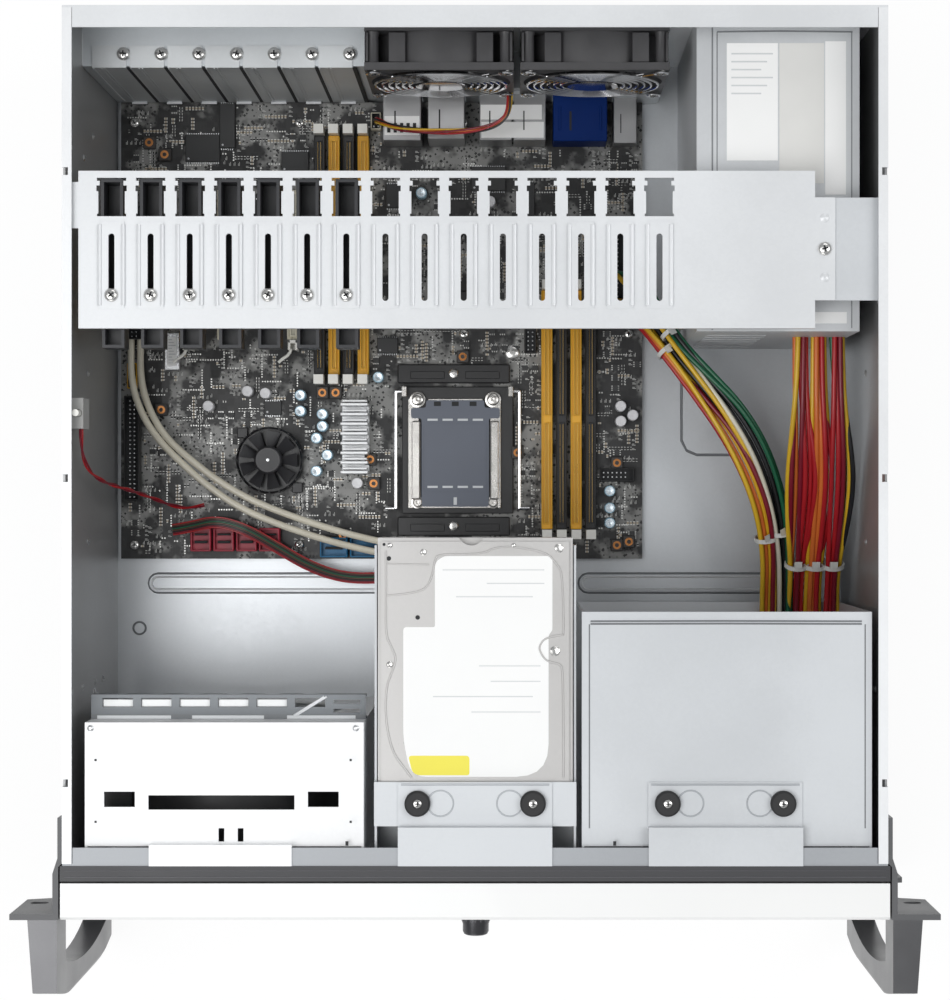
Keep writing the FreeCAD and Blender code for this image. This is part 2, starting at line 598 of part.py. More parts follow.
# front fan on the front panel, inside the left cage
keep("front_fan_frame", fan_frame(
    "front_fan", "front_fan_x", ("front_inner", "front_inner + front_fan_depth"), "front_fan_z",
    "front_fan_size", "front_bore", "front_hub"))
seat_face = mm("front_inner") + mm("front_fan_depth") - mm("fan_flange")
keep("front_rotor", plain("front_rotor_solid", rotor(
    Vector(mm("front_fan_x"), seat_face - mm("rotor_gap"), mm("front_fan_z")), INWARD,
    mm("front_hub"), mm("front_bore") - 1.6, 30, 7, mm("fan_flange") + 0.5)))

# fan cage: an open-bottomed sheet box behind the front panel
cage_walls = fuse("fan_cage_walls", [
    block("fan_cage_left_wall", ("fan_cage_left", "fan_cage_left + sheet_gauge"),
          ("front_inner", "fan_cage_rear"), ("sheet_gauge", "cage_top")),
    block("fan_cage_right_wall", ("fan_cage_right - sheet_gauge", "fan_cage_right"),
          ("front_inner", "fan_cage_rear"), ("sheet_gauge", "cage_top")),
    block("fan_cage_rear_wall", ("fan_cage_left", "fan_cage_right"),
          ("fan_cage_rear - sheet_gauge", "fan_cage_rear"), ("sheet_gauge", "cage_top")),
    block("fan_cage_roof", ("fan_cage_left", "fan_cage_right"), ("cage_front", "fan_cage_rear"),
          ("cage_top - sheet_gauge", "cage_top")),
    block("fan_cage_tab", ("front_fan_x - 37", "front_fan_x + 37"), ("front_face", "cage_front + 1.4"),
          ("case_height - bracket_gauge", "case_height")),
    block("fan_cage_riser", ("front_fan_x - 37", "front_fan_x + 37"), ("cage_front", "cage_front + 1.4"),
          ("cage_top - sheet_gauge", "case_height")),
])
roof = ("cage_top - 3", "cage_top + 1")
cage_tools = [
    rod("fan_cage_bore", "Y", "front_fan_x", ("fan_cage_rear - 3", "fan_cage_rear + 1"), "front_fan_z",
        "front_bore"),
    block("fan_cage_slot", ("front_fan_x - 38", "front_fan_x + 38"),
          ("cage_front + 19", "cage_front + 26.5"), roof),
]
for k, shift in enumerate((-61, 45)):
    cage_tools.append(block("fan_cage_square_%d" % k,
                            ("front_fan_x + %d" % shift, "front_fan_x + %d" % (shift + 16)),
                            ("cage_front + 20.4", "cage_front + 28.4"), roof))
for k, shift in enumerate((-1.5, 8.5)):
    cage_tools.append(block("fan_cage_slit_%d" % k,
                            ("front_fan_x + %s" % shift, "front_fan_x + %s" % (shift + 3)),
                            ("cage_front + 2.4", "cage_front + 9.4"), roof))
keep("fan_cage", cut("fan_cage_cut", cage_walls, cage_tools))

# card guide: a ledge on the back of the fan cage that steadies long cards
guide_sheet = fuse("guide_sheet", [
    block("guide_ledge", ("fan_cage_left", "fan_cage_right"),
          ("fan_cage_rear", "fan_cage_rear + guide_depth"),
          ("guide_height - sheet_gauge", "guide_height")),
    block("guide_leg", ("fan_cage_left", "fan_cage_right"),
          ("fan_cage_rear", "fan_cage_rear + sheet_gauge"),
          ("guide_height - 12", "guide_height")),
    block("guide_lip", ("fan_cage_left", "fan_cage_right"),
          ("fan_cage_rear + guide_depth - sheet_gauge", "fan_cage_rear + guide_depth"),
          ("guide_height - 8", "guide_height")),
])
guide_tools = []
for k in range(SLOTS - 1):
    guide_tools.append(block("guide_window_%d" % k, (case_x(k, "-8"), case_x(k, "8")),
                             ("fan_cage_rear + 6.4", "fan_cage_rear + guide_depth - 1.8"),
                             ("guide_height - 3", "guide_height + 1")))
    guide_tools.append(rod("guide_notch_%d" % k, "Y", case_x(k),
                           ("fan_cage_rear + guide_depth - 2", "fan_cage_rear + guide_depth + 1"),
                           "guide_height - 8", "4.5"))
for k, row in enumerate((3.4, 8.2)):
    guide_tools.append(block("guide_slit_%d" % k, (case_x(SLOTS - 1, "-8"), case_x(SLOTS - 1, "6")),
                             ("fan_cage_rear + %s" % row, "fan_cage_rear + %s" % (row + 2)),
                             ("guide_height - 3", "guide_height + 1")))
keep("card_guide", cut("card_guide_cut", guide_sheet, guide_tools))

# front panel: plate with a top flange, and openings for the fan and the drive bays
front_sheet = fuse("front_sheet", [
    block("front_plate", ("-half_width", "half_width"), ("front_face", "front_inner"),
          ("0", "case_height - bracket_gauge")),
    block("front_lip", ("side_flange + flange_gap - half_width", "half_width - side_flange - flange_gap"),
          ("front_face", "cage_front - 0.2"), ("flange_under", "case_height - bracket_gauge")),
])
bay_x = ("bay_left + 1.8", "bay_right - 1.8")
bay_z = ("bay_floor", "bay_floor + 3 * bay_pitch")
keep("front_panel", cut("front_panel_cut", front_sheet, [
    rod("front_fan_opening", "Y", "front_fan_x", ("front_face - 1", "front_inner + 1"), "front_fan_z",
        "front_bore"),
    block("front_bay_opening", bay_x, ("front_face - 1", "front_inner + 1"), bay_z),
]))

# bezel: moulded front frame with a fan window, the bay window and two button holes
bezel_y = ("bezel_front - 1", "front_face + 1")
grille_x = ("fan_cage_left + 6", "fan_cage_right - 6")
keep("bezel", cut("bezel_cut", block("bezel_plate", ("-bezel_half", "bezel_half"),
                                     ("bezel_front", "front_face"), ("0.5", "case_height - 0.5")), [
    block("bezel_fan_window", grille_x, bezel_y, ("16", "150")),
    block("bezel_bay_window", bay_x, bezel_y, bay_z),
    rod("power_hole", "Y", "power_x", bezel_y, "button_z", "power_radius + button_play"),
    rod("reset_hole", "Y", "reset_x", bezel_y, "button_z", "reset_radius + button_play"),
]))
for name, x, radius in (("power", "power_x", "power_radius"), ("reset", "reset_x", "reset_radius")):
    keep(name + "_button", rod(name + "_cap", "Y", x, ("bezel_front - 0.2", "front_face - 3"), "button_z",
                               radius))

# intake grille: a slatted insert in the bezel's fan window
slats = cut("intake_slats", block("intake_plate",
                                  (grille_x[0] + " + seat_gap", grille_x[1] + " - seat_gap"),
                                  ("front_face - 4", "front_face"), ("16.3", "149.7")),
            [block("intake_slot_%d" % k, ("fan_cage_left + 12 + %s" % (k * 11.2),
                                          "fan_cage_left + 19 + %s" % (k * 11.2)),
                   ("front_face - 5", "front_face + 1"), ("22", "144")) for k in range(11)])
keep("intake_grille", slats)

# drive bay cage and its three covers
bay_sheet = fuse("bay_sheet", [
    block("bay_left_wall", ("bay_left", "bay_left + sheet_gauge"), ("front_inner", "bay_rear"),
          ("sheet_gauge", "cage_top")),
    block("bay_right_wall", ("bay_right - sheet_gauge", "bay_right"), ("front_inner", "bay_rear"),
          ("sheet_gauge", "cage_top")),
    block("bay_roof", ("bay_left", "bay_right"), ("cage_front", "bay_rear"),
          ("cage_top - sheet_gauge", "cage_top")),
    block("bay_shelf", ("bay_left", "bay_right"), ("front_inner", "bay_rear"),
          ("bay_floor - sheet_gauge", "bay_floor")),
])
keep("drive_cage", cut("drive_cage_cut", bay_sheet, [
    rod("roof_hole_%d" % n, "Z", "bay_bracket_x + %d * grommet_reach" % (2 * n - 1), "grommet_row",
        ("cage_top - 3", "cage_top + 1"), "4.2") for n in range(2)]))
bay_covers = []
for k in range(3):
    low = "bay_floor + %d * bay_pitch + seat_gap" % k
    high = "bay_floor + %d * bay_pitch - seat_gap" % (k + 1)
    bay_covers.append(cut("bay_cover_%d" % k,
                          block("bay_face_%d" % k, ("bay_left + 2.1", "bay_right - 2.1"),
                                                    ("bezel_front + 1", "front_inner"), (low, high)),
                          [block("bay_well_%d" % k, ("bay_left + 5", "bay_right - 5"),
                                 ("bezel_front + 3.4", "front_inner + 1"),
                                 (low + " + 2.4", high + " - 2.4"))]))
keep("bay_covers", group("bay_cover_group", bay_covers))

# hard drive, its tray and the two isolator brackets
keep("hard_drive", cut("drive_cut", fuse("drive_joined", [
    block("drive_base", ("-drive_width / 2", "drive_width / 2"),
          ("drive_rear - drive_length", "drive_rear"),
          ("drive_low", "drive_low + drive_thick - 1.4")),
    block("drive_lid", ("1.8 - drive_width / 2", "drive_width / 2 - 1.8"),
          ("drive_rear - drive_length + 3", "drive_rear - 2"), ("drive_low", "drive_low + drive_thick")),
]), [rod("drive_notch", "Z", "-2", "drive_rear + 3",
         ("drive_low + drive_thick - 5", "drive_low + drive_thick + 1"), "7"),
     block("drive_socket", ("-44", "-8"), ("drive_rear - 5", "drive_rear + 1"),
           ("drive_low - 1", "drive_low + 6"))]))
tray_half = "(drive_width / 2 + tray_gap + sheet_gauge)"
tray_items = [
    block("tray_floor", ("-" + tray_half, tray_half), ("front_inner", "drive_rear - 4"),
          ("drive_low - sheet_gauge", "drive_low")),
    block("tray_flange", ("-" + tray_half, tray_half), ("tray_front", "bracket_rear"),
          ("cage_top - sheet_gauge", "cage_top")),
]
for name, x in (("left", ("-" + tray_half, "sheet_gauge - " + tray_half)),
                ("right", (tray_half + " - sheet_gauge", tray_half))):
    tray_items.append(block("tray_%s_wall" % name, x, ("front_inner", "drive_rear - 4"),
                            ("drive_low - sheet_gauge", "drive_low + drive_thick - 3")))
    tray_items.append(block("tray_%s_post" % name, x, ("tray_front", "bracket_rear"),
                            ("drive_low", "cage_top")))
tray_holes = [rod("tray_hole_%d" % k, "Z", "%d * grommet_reach" % (2 * k - 1), "grommet_row",
                  ("cage_top - 3", "cage_top + 1"), "4.2") for k in range(2)]
keep("drive_tray", cut("drive_tray_cut", fuse("drive_tray_sheet", tray_items), tray_holes))

brackets = []
grommets = []
for k, x in enumerate(("0", "bay_bracket_x")):
    span = (x + " - bracket_half", x + " + bracket_half")
    folded = fuse("bracket_%d" % k, [
        block("bracket_rear_%d" % k, span, ("tray_front", "bracket_rear"),
              ("cage_top", "cage_top + bracket_gauge")),
        block("bracket_riser_%d" % k, span, ("tray_front - bracket_gauge", "tray_front"),
              ("cage_top", "case_height")),
        block("bracket_front_%d" % k, span, ("front_face", "tray_front"),
              ("case_height - bracket_gauge", "case_height")),
    ])
    holes = [rod("bracket_hole_%d_%d" % (k, n), "Z", x + " + %d * grommet_reach" % (2 * n - 1),
                 "grommet_row",
                 ("cage_top - 1", "cage_top + 3"), "4.2") for n in range(2)]
    brackets.append(cut("bracket_cut_%d" % k, folded, holes))
    for side in (-1, 1):
        outline = [(1.6, 0), (3.9, 0), (3.9, 2.2), (6.7, 2.2), (6.7, 4.8), (5.7, 5.6), (2.6, 5.6),
                   (1.6, 4.4)]
        wire = Part.makePolygon([Vector(r, 0, h) for r, h in outline + outline[:1]])
        ring = Part.Face(wire).revolve(Vector(), Vector(0, 0, 1), 360)
        place = mm("bay_bracket_x") * k + side * mm("grommet_reach")
        ring.Placement = Placement(Vector(place, mm("grommet_row"), mm("cage_top") - mm("sheet_gauge")),
                                   Rotation())
        grommets.append(ring)
keep("mounting_brackets", group("bracket_group", brackets + [end_plate]))
keep("rubber_grommets", plain("grommet_set", Part.makeCompound(grommets)))

# power supply: housing with a round rear fan bay and a front vent, rotor, guard, inlet and switch
supply_shell = block("supply_shell", ("supply_left", "supply_right"), ("supply_front", "rear_inner - 0.2"),
                     ("supply_low", "supply_high"))
supply_tools = [
    rod("supply_bore_cut", "Y", "supply_fan_x", ("rear_inner - 32", "rear_inner + 1"), "supply_fan_z",
        "supply_bore"),
    block("supply_inlet_cut", ("supply_left + 12", "supply_left + 40"),
          ("rear_inner - 16", "rear_inner + 1"),
          ("supply_low + 16", "supply_low + 36")),
    block("supply_switch_cut", ("supply_left + 52.2", "supply_left + 65.8"),
          ("rear_inner - 19", "rear_inner + 1"),
          ("supply_low + 16", "supply_low + 36")),
]
for k in range(7):
    supply_tools.append(block("supply_vent_%d" % k, ("supply_left + 8", "supply_left + 40"),
                              ("supply_front - 1", "supply_front + 3"),
                              ("supply_low + 20 + %d" % (16 * k), "supply_low + 25 + %d" % (16 * k))))
supply_body = cut("supply_cut", supply_shell, supply_tools)
supply_seat = rod("supply_shaft_seat", "Y", "supply_fan_x", ("rear_inner - 33", "rear_inner - 28"),
                  "supply_fan_z", "14")
supply_hole = rod("supply_shaft_hole", "Y", "supply_fan_x", ("rear_inner - 36", "rear_inner - 27"),
                  "supply_fan_z", "shaft_radius + shaft_play")
supply_done = cut("supply_done", fuse("supply_with_seat", [supply_body, supply_seat]), [supply_hole])
keep("supply_rotor", plain("supply_rotor_solid", rotor(
    Vector(mm("supply_fan_x"), mm("rear_inner") - 28 + mm("rotor_gap"), mm("supply_fan_z")),
    Rotation(Vector(1, 0, 0), -90), 14.0, mm("supply_bore") - 1.4, 18, 7, 6)))
supply_guard = wire_guard(Vector(), Rotation(), [12, 19, 26, 33], mm("supply_bore") - 0.2, 6)
supply_guard.Placement = Placement(Vector(mm("supply_fan_x"), mm("rear_inner") - 4, mm("supply_fan_z")),
                                   Rotation(Vector(1, 0, 0), -90))
keep("fan_guards", plain("fan_guard_set", Part.makeCompound(guards + [supply_guard])))
inlet = cut("inlet_done", block("inlet_body", ("supply_left + 12.2", "supply_left + 39.8"),
                                ("rear_inner - 15.8", "rear_inner - 0.2"),
                                ("supply_low + 16.2", "supply_low + 35.8")),
            [block("inlet_well", ("supply_left + 14", "supply_left + 38"),
                   ("rear_inner - 12", "rear_inner"),
                   ("supply_low + 18", "supply_low + 34"))])
keep("power_supply", group("power_supply_group", [supply_done, inlet]))
rocker = Part.makeCylinder(9, 13, Vector(),
                           Vector(1, 0, 0)).cut(Part.makeBox(15, 5, 20, Vector(-1, 5.6, -10)))
rocker.Placement = Placement(Vector(mm("supply_left") + 52.5, mm("rear_inner") - 9.6,
                                    mm("supply_low") + 26),
                             Rotation(Vector(1, 0, 0), -8))
keep("supply_switch", plain("switch_solid", rocker))

# motherboard
keep("motherboard", block("board_sheet", ("board_left", "board_right"), ("board_front", "board_rear"),
                          ("board_low", "board_top")))
# memory sockets in two banks, with a tilting latch at each end
BANKS = [("left", -92.9, 39.9), ("right", 39.6, -50.1)]
MEMORY_PITCH = 8.5
sockets = []


def latch(name, x, y, outward):
    """A memory latch that tilts outward about its round foot."""
    radius = "latch_length / 2"
    pivot = "%s + %d * (latch_play + latch_length / 2)" % (y, outward)
    low = "board_top + latch_play + latch_length / 2"
    sides = ("%s - latch_width / 2" % x, "%s + latch_width / 2" % x)
    return fuse(name, [
        rod(name + "_foot", "X", sides, pivot, low, radius),
        block(name + "_lever", sides, ("%s - latch_length / 2" % pivot, "%s + latch_length / 2" % pivot),
              (low, "board_top + latch_height")),
    ])


for bank, first, front in BANKS:
    rows = {"front": [], "rear": []}
    for k in range(4):
        x = str(round(first + k * MEMORY_PITCH, 2))
        name = "memory_%s_%d" % (bank, k)
        bar_block = block(name + "_bar", ("%s - socket_width / 2" % x, "%s + socket_width / 2" % x),
                          (front, "%s + socket_length" % front), ("board_top", "board_top + socket_height"))
        groove = block(name + "_groove", ("%s - 0.9" % x, "%s + 0.9" % x),
                       ("%s + 3" % front, "%s + socket_length - 3" % front),
                       ("board_top + 3", "board_top + socket_height + 1"))
        sockets.append(cut(name, bar_block, [groove]))
        rows["front"].append(latch(name + "_front", x, str(front), -1))
        rows["rear"].append(latch(name + "_rear", x, "%s + socket_length" % front, 1))
    for end, items in rows.items():
        keep("memory_latches_%s_%s" % (bank, end), group("latches_%s_%s" % (bank, end), items))
keep("memory_sockets", group("memory_socket_group", sockets))

# expansion slots on the card planes, and their end latches
SLOT_FRONT = 60
SLOT_REAR = 147
card_slots = []
latches = []
for k in (0, 1, 2, 4):
    x = case_x(k)
    slot_bar = block("card_slot_%d" % k, (x + " - 3.7", x + " + 3.7"), (SLOT_FRONT, SLOT_REAR),
                     ("board_top", "board_top + 11"))
    groove = block("card_groove_%d" % k, (x + " - 0.9", x + " + 0.9"), (SLOT_FRONT + 2, SLOT_REAR - 2),
                   ("board_top + 4", "board_top + 12"))
    card_slots.append(cut("card_slot_cut_%d" % k, slot_bar, [groove]))
    if k in (1, 4):
        latches.append(latch("card_latch_%d" % k, x, str(SLOT_FRONT), -1))
keep("card_slots", group("card_slot_group", card_slots))
keep("card_slot_latches", group("card_latch_group", latches))

# processor socket: base, hinged load plate with its cover, and two hold-down levers
CPU_X = -12.5
CPU_Y = -4.0
base = block("cpu_base", (CPU_X - 32.5, CPU_X + 32.5), (CPU_Y - 37, CPU_Y + 37),
             ("board_top", "board_top + 3"))
lugs = [block("cpu_lug_%d" % n, (CPU_X + side * 31 - 1.5, CPU_X + side * 31 + 1.5),
              (CPU_Y + 31, CPU_Y + 37),
              ("board_top", "board_top + 9")) for n, side in enumerate((-1, 1))]
ends = [block("cpu_bar_%d" % n, (CPU_X - 35, CPU_X + 31),
              (CPU_Y + side * 44.5 - 5.5, CPU_Y + side * 44.5 + 5.5),
              ("board_top", "board_top + 5")) for n, side in enumerate((-1, 1))]
lug_holes = [rod("cpu_lug_hole_%d" % n, "X", (CPU_X + side * 31 - 4, CPU_X + side * 31 + 4), CPU_Y + 34,
                 "board_top + 6", "lever_radius + pin_play") for n, side in enumerate((-1, 1))]
keep("cpu_socket", group("cpu_socket_group",
                         [cut("cpu_socket_cut", fuse("cpu_socket_blank", [base] + lugs),
                              lug_holes)] + ends))
plate_z = ("board_top + 3.4", "board_top + 5")
keep("cpu_load_plate", cut("load_plate_cut",
                           block("load_plate", (CPU_X - 27, CPU_X + 27), (CPU_Y - 34, CPU_Y + 30), plate_z),
                           [block("load_window", (CPU_X - 18, CPU_X + 18), (CPU_Y - 24, CPU_Y + 22),
                                  ("board_top + 3", "board_top + 6"))]))
cover_low = block("cpu_cover_low", (CPU_X - 17.8, CPU_X + 17.8), (CPU_Y - 23.8, CPU_Y + 21.8),
                  ("board_top + 4", "board_top + 6"))
cover_top = block("cpu_cover_top", (CPU_X - 24, CPU_X + 24), (CPU_Y - 33, CPU_Y + 29),
                  ("board_top + 5", "board_top + 7.4"))
keep("cpu_cover", fuse("cpu_cover_solid", [cover_low, cover_top]))
for name, side in (("left", -1), ("right", 1)):
    radius = mm("lever_radius")
    outer = CPU_X + side * 36
    height = mm("board_top") + 6
    arm = Part.makeCylinder(radius, 68, Vector(outer, CPU_Y - 34, height), Vector(0, 1, 0))
    pivot = Part.makeCylinder(radius, 5, Vector(outer, CPU_Y + 34, height), Vector(-side, 0, 0))
    knee = Part.makeSphere(radius, Vector(outer, CPU_Y + 34, height))
    toe = Part.makeCylinder(radius, 6, Vector(outer, CPU_Y - 34, height), Vector(side, 0, 0))
    ankle = Part.makeSphere(radius, Vector(outer, CPU_Y - 34, height))
    keep("cpu_lever_" + name, plain("lever_" + name, arm.fuse([pivot, knee, toe, ankle])))

# heatsink: a base with upright fins
fins = [block("sink_base", ("-80", "-64"), ("-18", "23"), ("board_top", "board_top + 4"))]
fins += [block("sink_fin_%d" % k, ("-80", "-64"), (-18 + 5.6 * k, -16.2 + 5.6 * k),
               ("board_top", "board_top + 19"))
         for k in range(8)]
fins[-1] = block("sink_fin_end", ("-80", "-64"), ("21.2", "23"), ("board_top", "board_top + 19"))
sink = fuse("sink_solid", fins)

# chipset fan: a ribbed base with an axle, and a rotor turning on Z
FAN_X = -122
FAN_Y = -10
chipset_base = cut("chipset_base_cut", fuse("chipset_base_solid", [
    block("chipset_sink", (FAN_X - 17, FAN_X + 17), (FAN_Y - 17, FAN_Y + 17),
          ("board_top", "board_top + 6")),
    rod("chipset_ring", "Z", FAN_X, FAN_Y, ("board_top", "board_top + 9"), "19.5"),
]), [rod("chipset_well", "Z", FAN_X, FAN_Y, ("board_top + 7", "board_top + 10"), "18.3"),
     rod("chipset_axle_hole", "Z", FAN_X, FAN_Y, ("board_top + 2", "board_top + 8"),
         "shaft_radius + shaft_play")])
keep("heatsinks", group("heatsink_pair", [sink, chipset_base]))
keep("chipset_rotor", plain("chipset_rotor_solid", rotor(
    Vector(FAN_X, FAN_Y, mm("board_top") + 8), Rotation(), 8.0, 17.2, 9, 9, 4)))

# small parts on the board, placed from its front left corner: x, y, length, width, height
CHIPS = [
    (38, 232, 20, 16, 2.5), (58, 240, 9, 26, 3), (26, 110, 8, 22, 5), (94, 226, 16, 12, 2),
    (155, 205, 14, 14, 2), (68, 200, 14, 10, 2), (84, 176, 12, 12, 2), (150, 120, 12, 9, 4),
    (196, 150, 24, 6, 3), (236, 120, 7, 26, 4), (84, 84, 10, 8, 2), (25.5, 150, 10, 12, 2),
    (160, 150, 14, 8, 3), (205, 215, 20, 14, 3), (232, 200, 10, 20, 3),
]
HEADERS = [
    (3, 34, 9, 61, 9), (3.9, 99.4, 5.8, 15, 3), (2.5, 128, 12, 6, 8), (222, 1, 22, 8, 9),
    (146.5, 250, 6, 10, 8), (284, 138, 10, 52, 12), (280, 45, 20, 8, 7),
]
DRIVE_PORTS = [(41.6 + 13.3 * k, 4.5, 12, 13.5, 9) for k in range(4)]
DRIVE_PORTS += [(117 + 17.5 * k, 1, 16, 11.5, 9) for k in range(2)]
CAPACITORS = [
    (105.6, 95.4), (105.6, 86.1), (118.4, 84.3), (118.4, 77.3), (114.9, 70.4), (121.3, 60.5),
    (114.9, 51.2), (74.8, 97.7), (85.2, 96.5), (292.1, 89), (299.1, 83.7), (292.1, 80.2),
    (285.7, 39.6), (285.7, 29.7), (285.7, 21), (150.9, 105.8), (138.7, 44.2),
]


def board_blocks(name, rows):
    """Small blocks standing on the board, each from its corner's place and its three sizes."""
    return [block("%s_%d" % (name, k), ("board_left + %s" % x, "board_left + %s" % (x + length)),
                  ("board_front + %s" % y, "board_front + %s" % (y + width)),
                  ("board_top", "board_top + %s" % height))
            for k, (x, y, length, width, height) in enumerate(rows)]


components = board_blocks("chip", CHIPS) + board_blocks("header", HEADERS)
components += board_blocks("drive_port", DRIVE_PORTS)
components += [rod("capacitor_%d" % k, "Z", "board_left + %s" % x, "board_front + %s" % y,
                   ("board_top", "board_top + capacitor_height"), "capacitor_radius")
               for k, (x, y) in enumerate(CAPACITORS)]
keep("board_components", group("component_group", components))

# drop-down front door and its lock
door = new_body("door")
pad(door, trace(door, "YZ_Plane", [
    ("door_rear", "door_low"), ("door_front + 1.5", "door_low"), ("door_front", "door_low + 1.5"),
    ("door_front", "door_high - 1.5"), ("door_front + 1.5", "door_high"), ("door_rear", "door_high"),
]), "2 * door_half", symmetric=True)
pocket(door, trace(door, "XZ_Plane",
                   rectangle(("3 - door_half", "door_half - 3"), ("door_low + 3", "door_high - 3")),
                   "-door_rear"), "door_rear - door_front - door_wall", reverse=True)
pocket(door, ring_sketch(door, "XZ_Plane", "0", "lock_height", "lock_radius - 0.7", "-door_front + 1"),
       "door_wall + 2")
for side in (-1, 1):
    hole = ring_sketch(door, "YZ_Plane", "hinge_y", "hinge_z", "pin_radius + pin_play",
                       "%d * (door_half - 1.5)" % side)
    pocket(door, hole, "6.4", symmetric=True)
keep("front_door", door)
keep("door_lock", fuse("lock_solid", [
    rod("lock_head", "Y", "0", ("door_front - lock_reach", "door_front - seat_gap"), "lock_height",
        "lock_radius"),
    rod("lock_barrel", "Y", "0", ("door_front - 1", "door_front + 12"), "lock_height", "lock_radius - 1"),
    block("lock_cam", ("-2.5", "2.5"), ("door_front + 10", "door_front + 12"),
          ("lock_height", "lock_height + 17")),
]))

# ears with their side arms, the screws that hold them, and the handles
TOP_VIEW = [("half_width", "arm_back"), ("half_width + arm_gauge", "arm_back"),
            ("half_width + arm_gauge", "front_face + 4"), ("cheek_half + cheek_gauge", "front_face - 4"),
            ("cheek_half + cheek_gauge", "door_front + ear_gauge"), ("ear_reach", "door_front + ear_gauge"),
            ("ear_reach", "door_front"), ("cheek_half", "door_front"), ("cheek_half", "front_face - 0.5"),
            ("half_width", "front_face + 1.5")]
handle_depth = mm("handle_end")
ears = []
handles = []
for name, side in (("left", -1), ("right", 1)):
    ear = new_body("ear_" + name)
    corners = TOP_VIEW if side > 0 else [("-(%s)" % x, y) for x, y in TOP_VIEW][::-1]
    pad(ear, trace(ear, "XY_Plane", corners, "0.5"), "case_height - 1")
    waist = [("%d * waist_reach" % side, "55"), ("%d * (ear_reach + 1)" % side, "49"),
             ("%d * (ear_reach + 1)" % side, "128"), ("%d * waist_reach" % side, "122")]
    pocket(ear, trace(ear, "XZ_Plane", waist, "-door_front + 1"), "ear_gauge + 2")
    for level in (-1, 1):
        height = "rack_middle + %d * rack_spacing / 2" % level
        slot = rectangle(("%d * rack_half - rack_slot / 2 + rack_hole" % side,
                          "%d * rack_half + rack_slot / 2 - rack_hole" % side),
                         (height + " - rack_hole", height + " + rack_hole"))
        pocket(ear, trace(ear, "XZ_Plane", slot, "-door_front + 1"), "ear_gauge + 2")
        for end in (-1, 1):
            pocket(ear, ring_sketch(ear, "XZ_Plane",
                                    "%d * rack_half + %d * (rack_slot / 2 - rack_hole)" % (side, end),
                                    height, "rack_hole", "-door_front + 1"), "ear_gauge + 2")
    span = ("door_half - 4", "cheek_half + 2") if side > 0 else ("-cheek_half - 2", "4 - door_half")
    pin = rod("door_pin_" + name, "X", span, "hinge_y", "hinge_z", "pin_radius")
    ears.append(fuse("ear_with_pin_" + name, [ear, pin]))
    # the handle's side view, bowed in front, crossed with its tapered top view
    face = mm("door_front")
    top = mm("case_height") - 0.5
    bow = face - handle_depth - mm("handle_bow")
    end = face - handle_depth + 2
    middle_z = mm("case_height") / 2
    side_view = Part.Wire([
        Part.LineSegment(Vector(0, face, 0.5), Vector(0, end, 0.5)).toShape(),
        Part.Arc(Vector(0, end, 0.5), Vector(0, bow, middle_z), Vector(0, end, top)).toShape(),
        Part.LineSegment(Vector(0, end, top), Vector(0, face, top)).toShape(),
        Part.LineSegment(Vector(0, face, top), Vector(0, face, 0.5)).toShape()])
    low_gap = mm("arm_low")
    high_gap = top - mm("arm_high")
    inner_bow = bow + mm("handle_grip")
    inner_end = inner_bow + 7
    gap_view = Part.Wire([
        Part.LineSegment(Vector(0, face + 1, low_gap), Vector(0, inner_end, low_gap)).toShape(),
        Part.Arc(Vector(0, inner_end, low_gap), Vector(0, inner_bow, middle_z),
                 Vector(0, inner_end, high_gap)).toShape(),
        Part.LineSegment(Vector(0, inner_end, high_gap), Vector(0, face + 1, high_gap)).toShape(),
        Part.LineSegment(Vector(0, face + 1, high_gap), Vector(0, face + 1, low_gap)).toShape()])
    inner, outer = mm("handle_inner"), mm("handle_outer")
    tip = bow - 1
    width = Vector(outer + 20, 0, 0)
    loop = Part.Face(side_view).extrude(width).cut(Part.Face(gap_view).extrude(width))
    top_view = Part.Wire([
        Part.LineSegment(Vector(inner, face, 0), Vector(inner, tip + 8, 0)).toShape(),
        Part.Arc(Vector(inner, tip + 8, 0), Vector((inner + outer) / 2 - 1, tip + 1, 0),
                 Vector(outer - 3, tip + 8, 0)).toShape(),
        Part.LineSegment(Vector(outer - 3, tip + 8, 0), Vector(outer, face, 0)).toShape(),
        Part.LineSegment(Vector(outer, face, 0), Vector(inner, face, 0)).toShape()])
    handle = Part.Face(top_view).extrude(Vector(0, 0, mm("case_height"))).common(loop)
    if side < 0:
        handle = handle.mirror(Vector(), Vector(1, 0, 0))
    handles.append(handle)
keep("rack_ears", group("ear_pair", ears))
keep("handles", plain("handle_pair", Part.makeCompound(handles)))
for side in (-1, 1):
    for height in (45.0, 130.0):
        screws.append(screw(side * (mm("half_width") + mm("arm_gauge")), mm("arm_back") - 7, height, 0.0,
                            Rotation(Vector(0, 1, 0), 90 * side)))
keep("pan_screws", plain("screw_set", Part.makeCompound(screws)))

# intrusion switch on the left wall, with its sprung plunger
keep("intrusion_switch", cut("switch_body",
                             block("switch_blank", ("-inner_half", "-inner_half + 8"), ("4", "20"),
                                   ("148", "166")),
                             [rod("switch_hole", "Z", "-inner_half + 5.2", "12", ("152", "167"), "2.1")]))
keep("switch_plunger", rod("plunger_rod", "Z", "-inner_half + 5.2", "12", ("157", "174"), "1.8"))


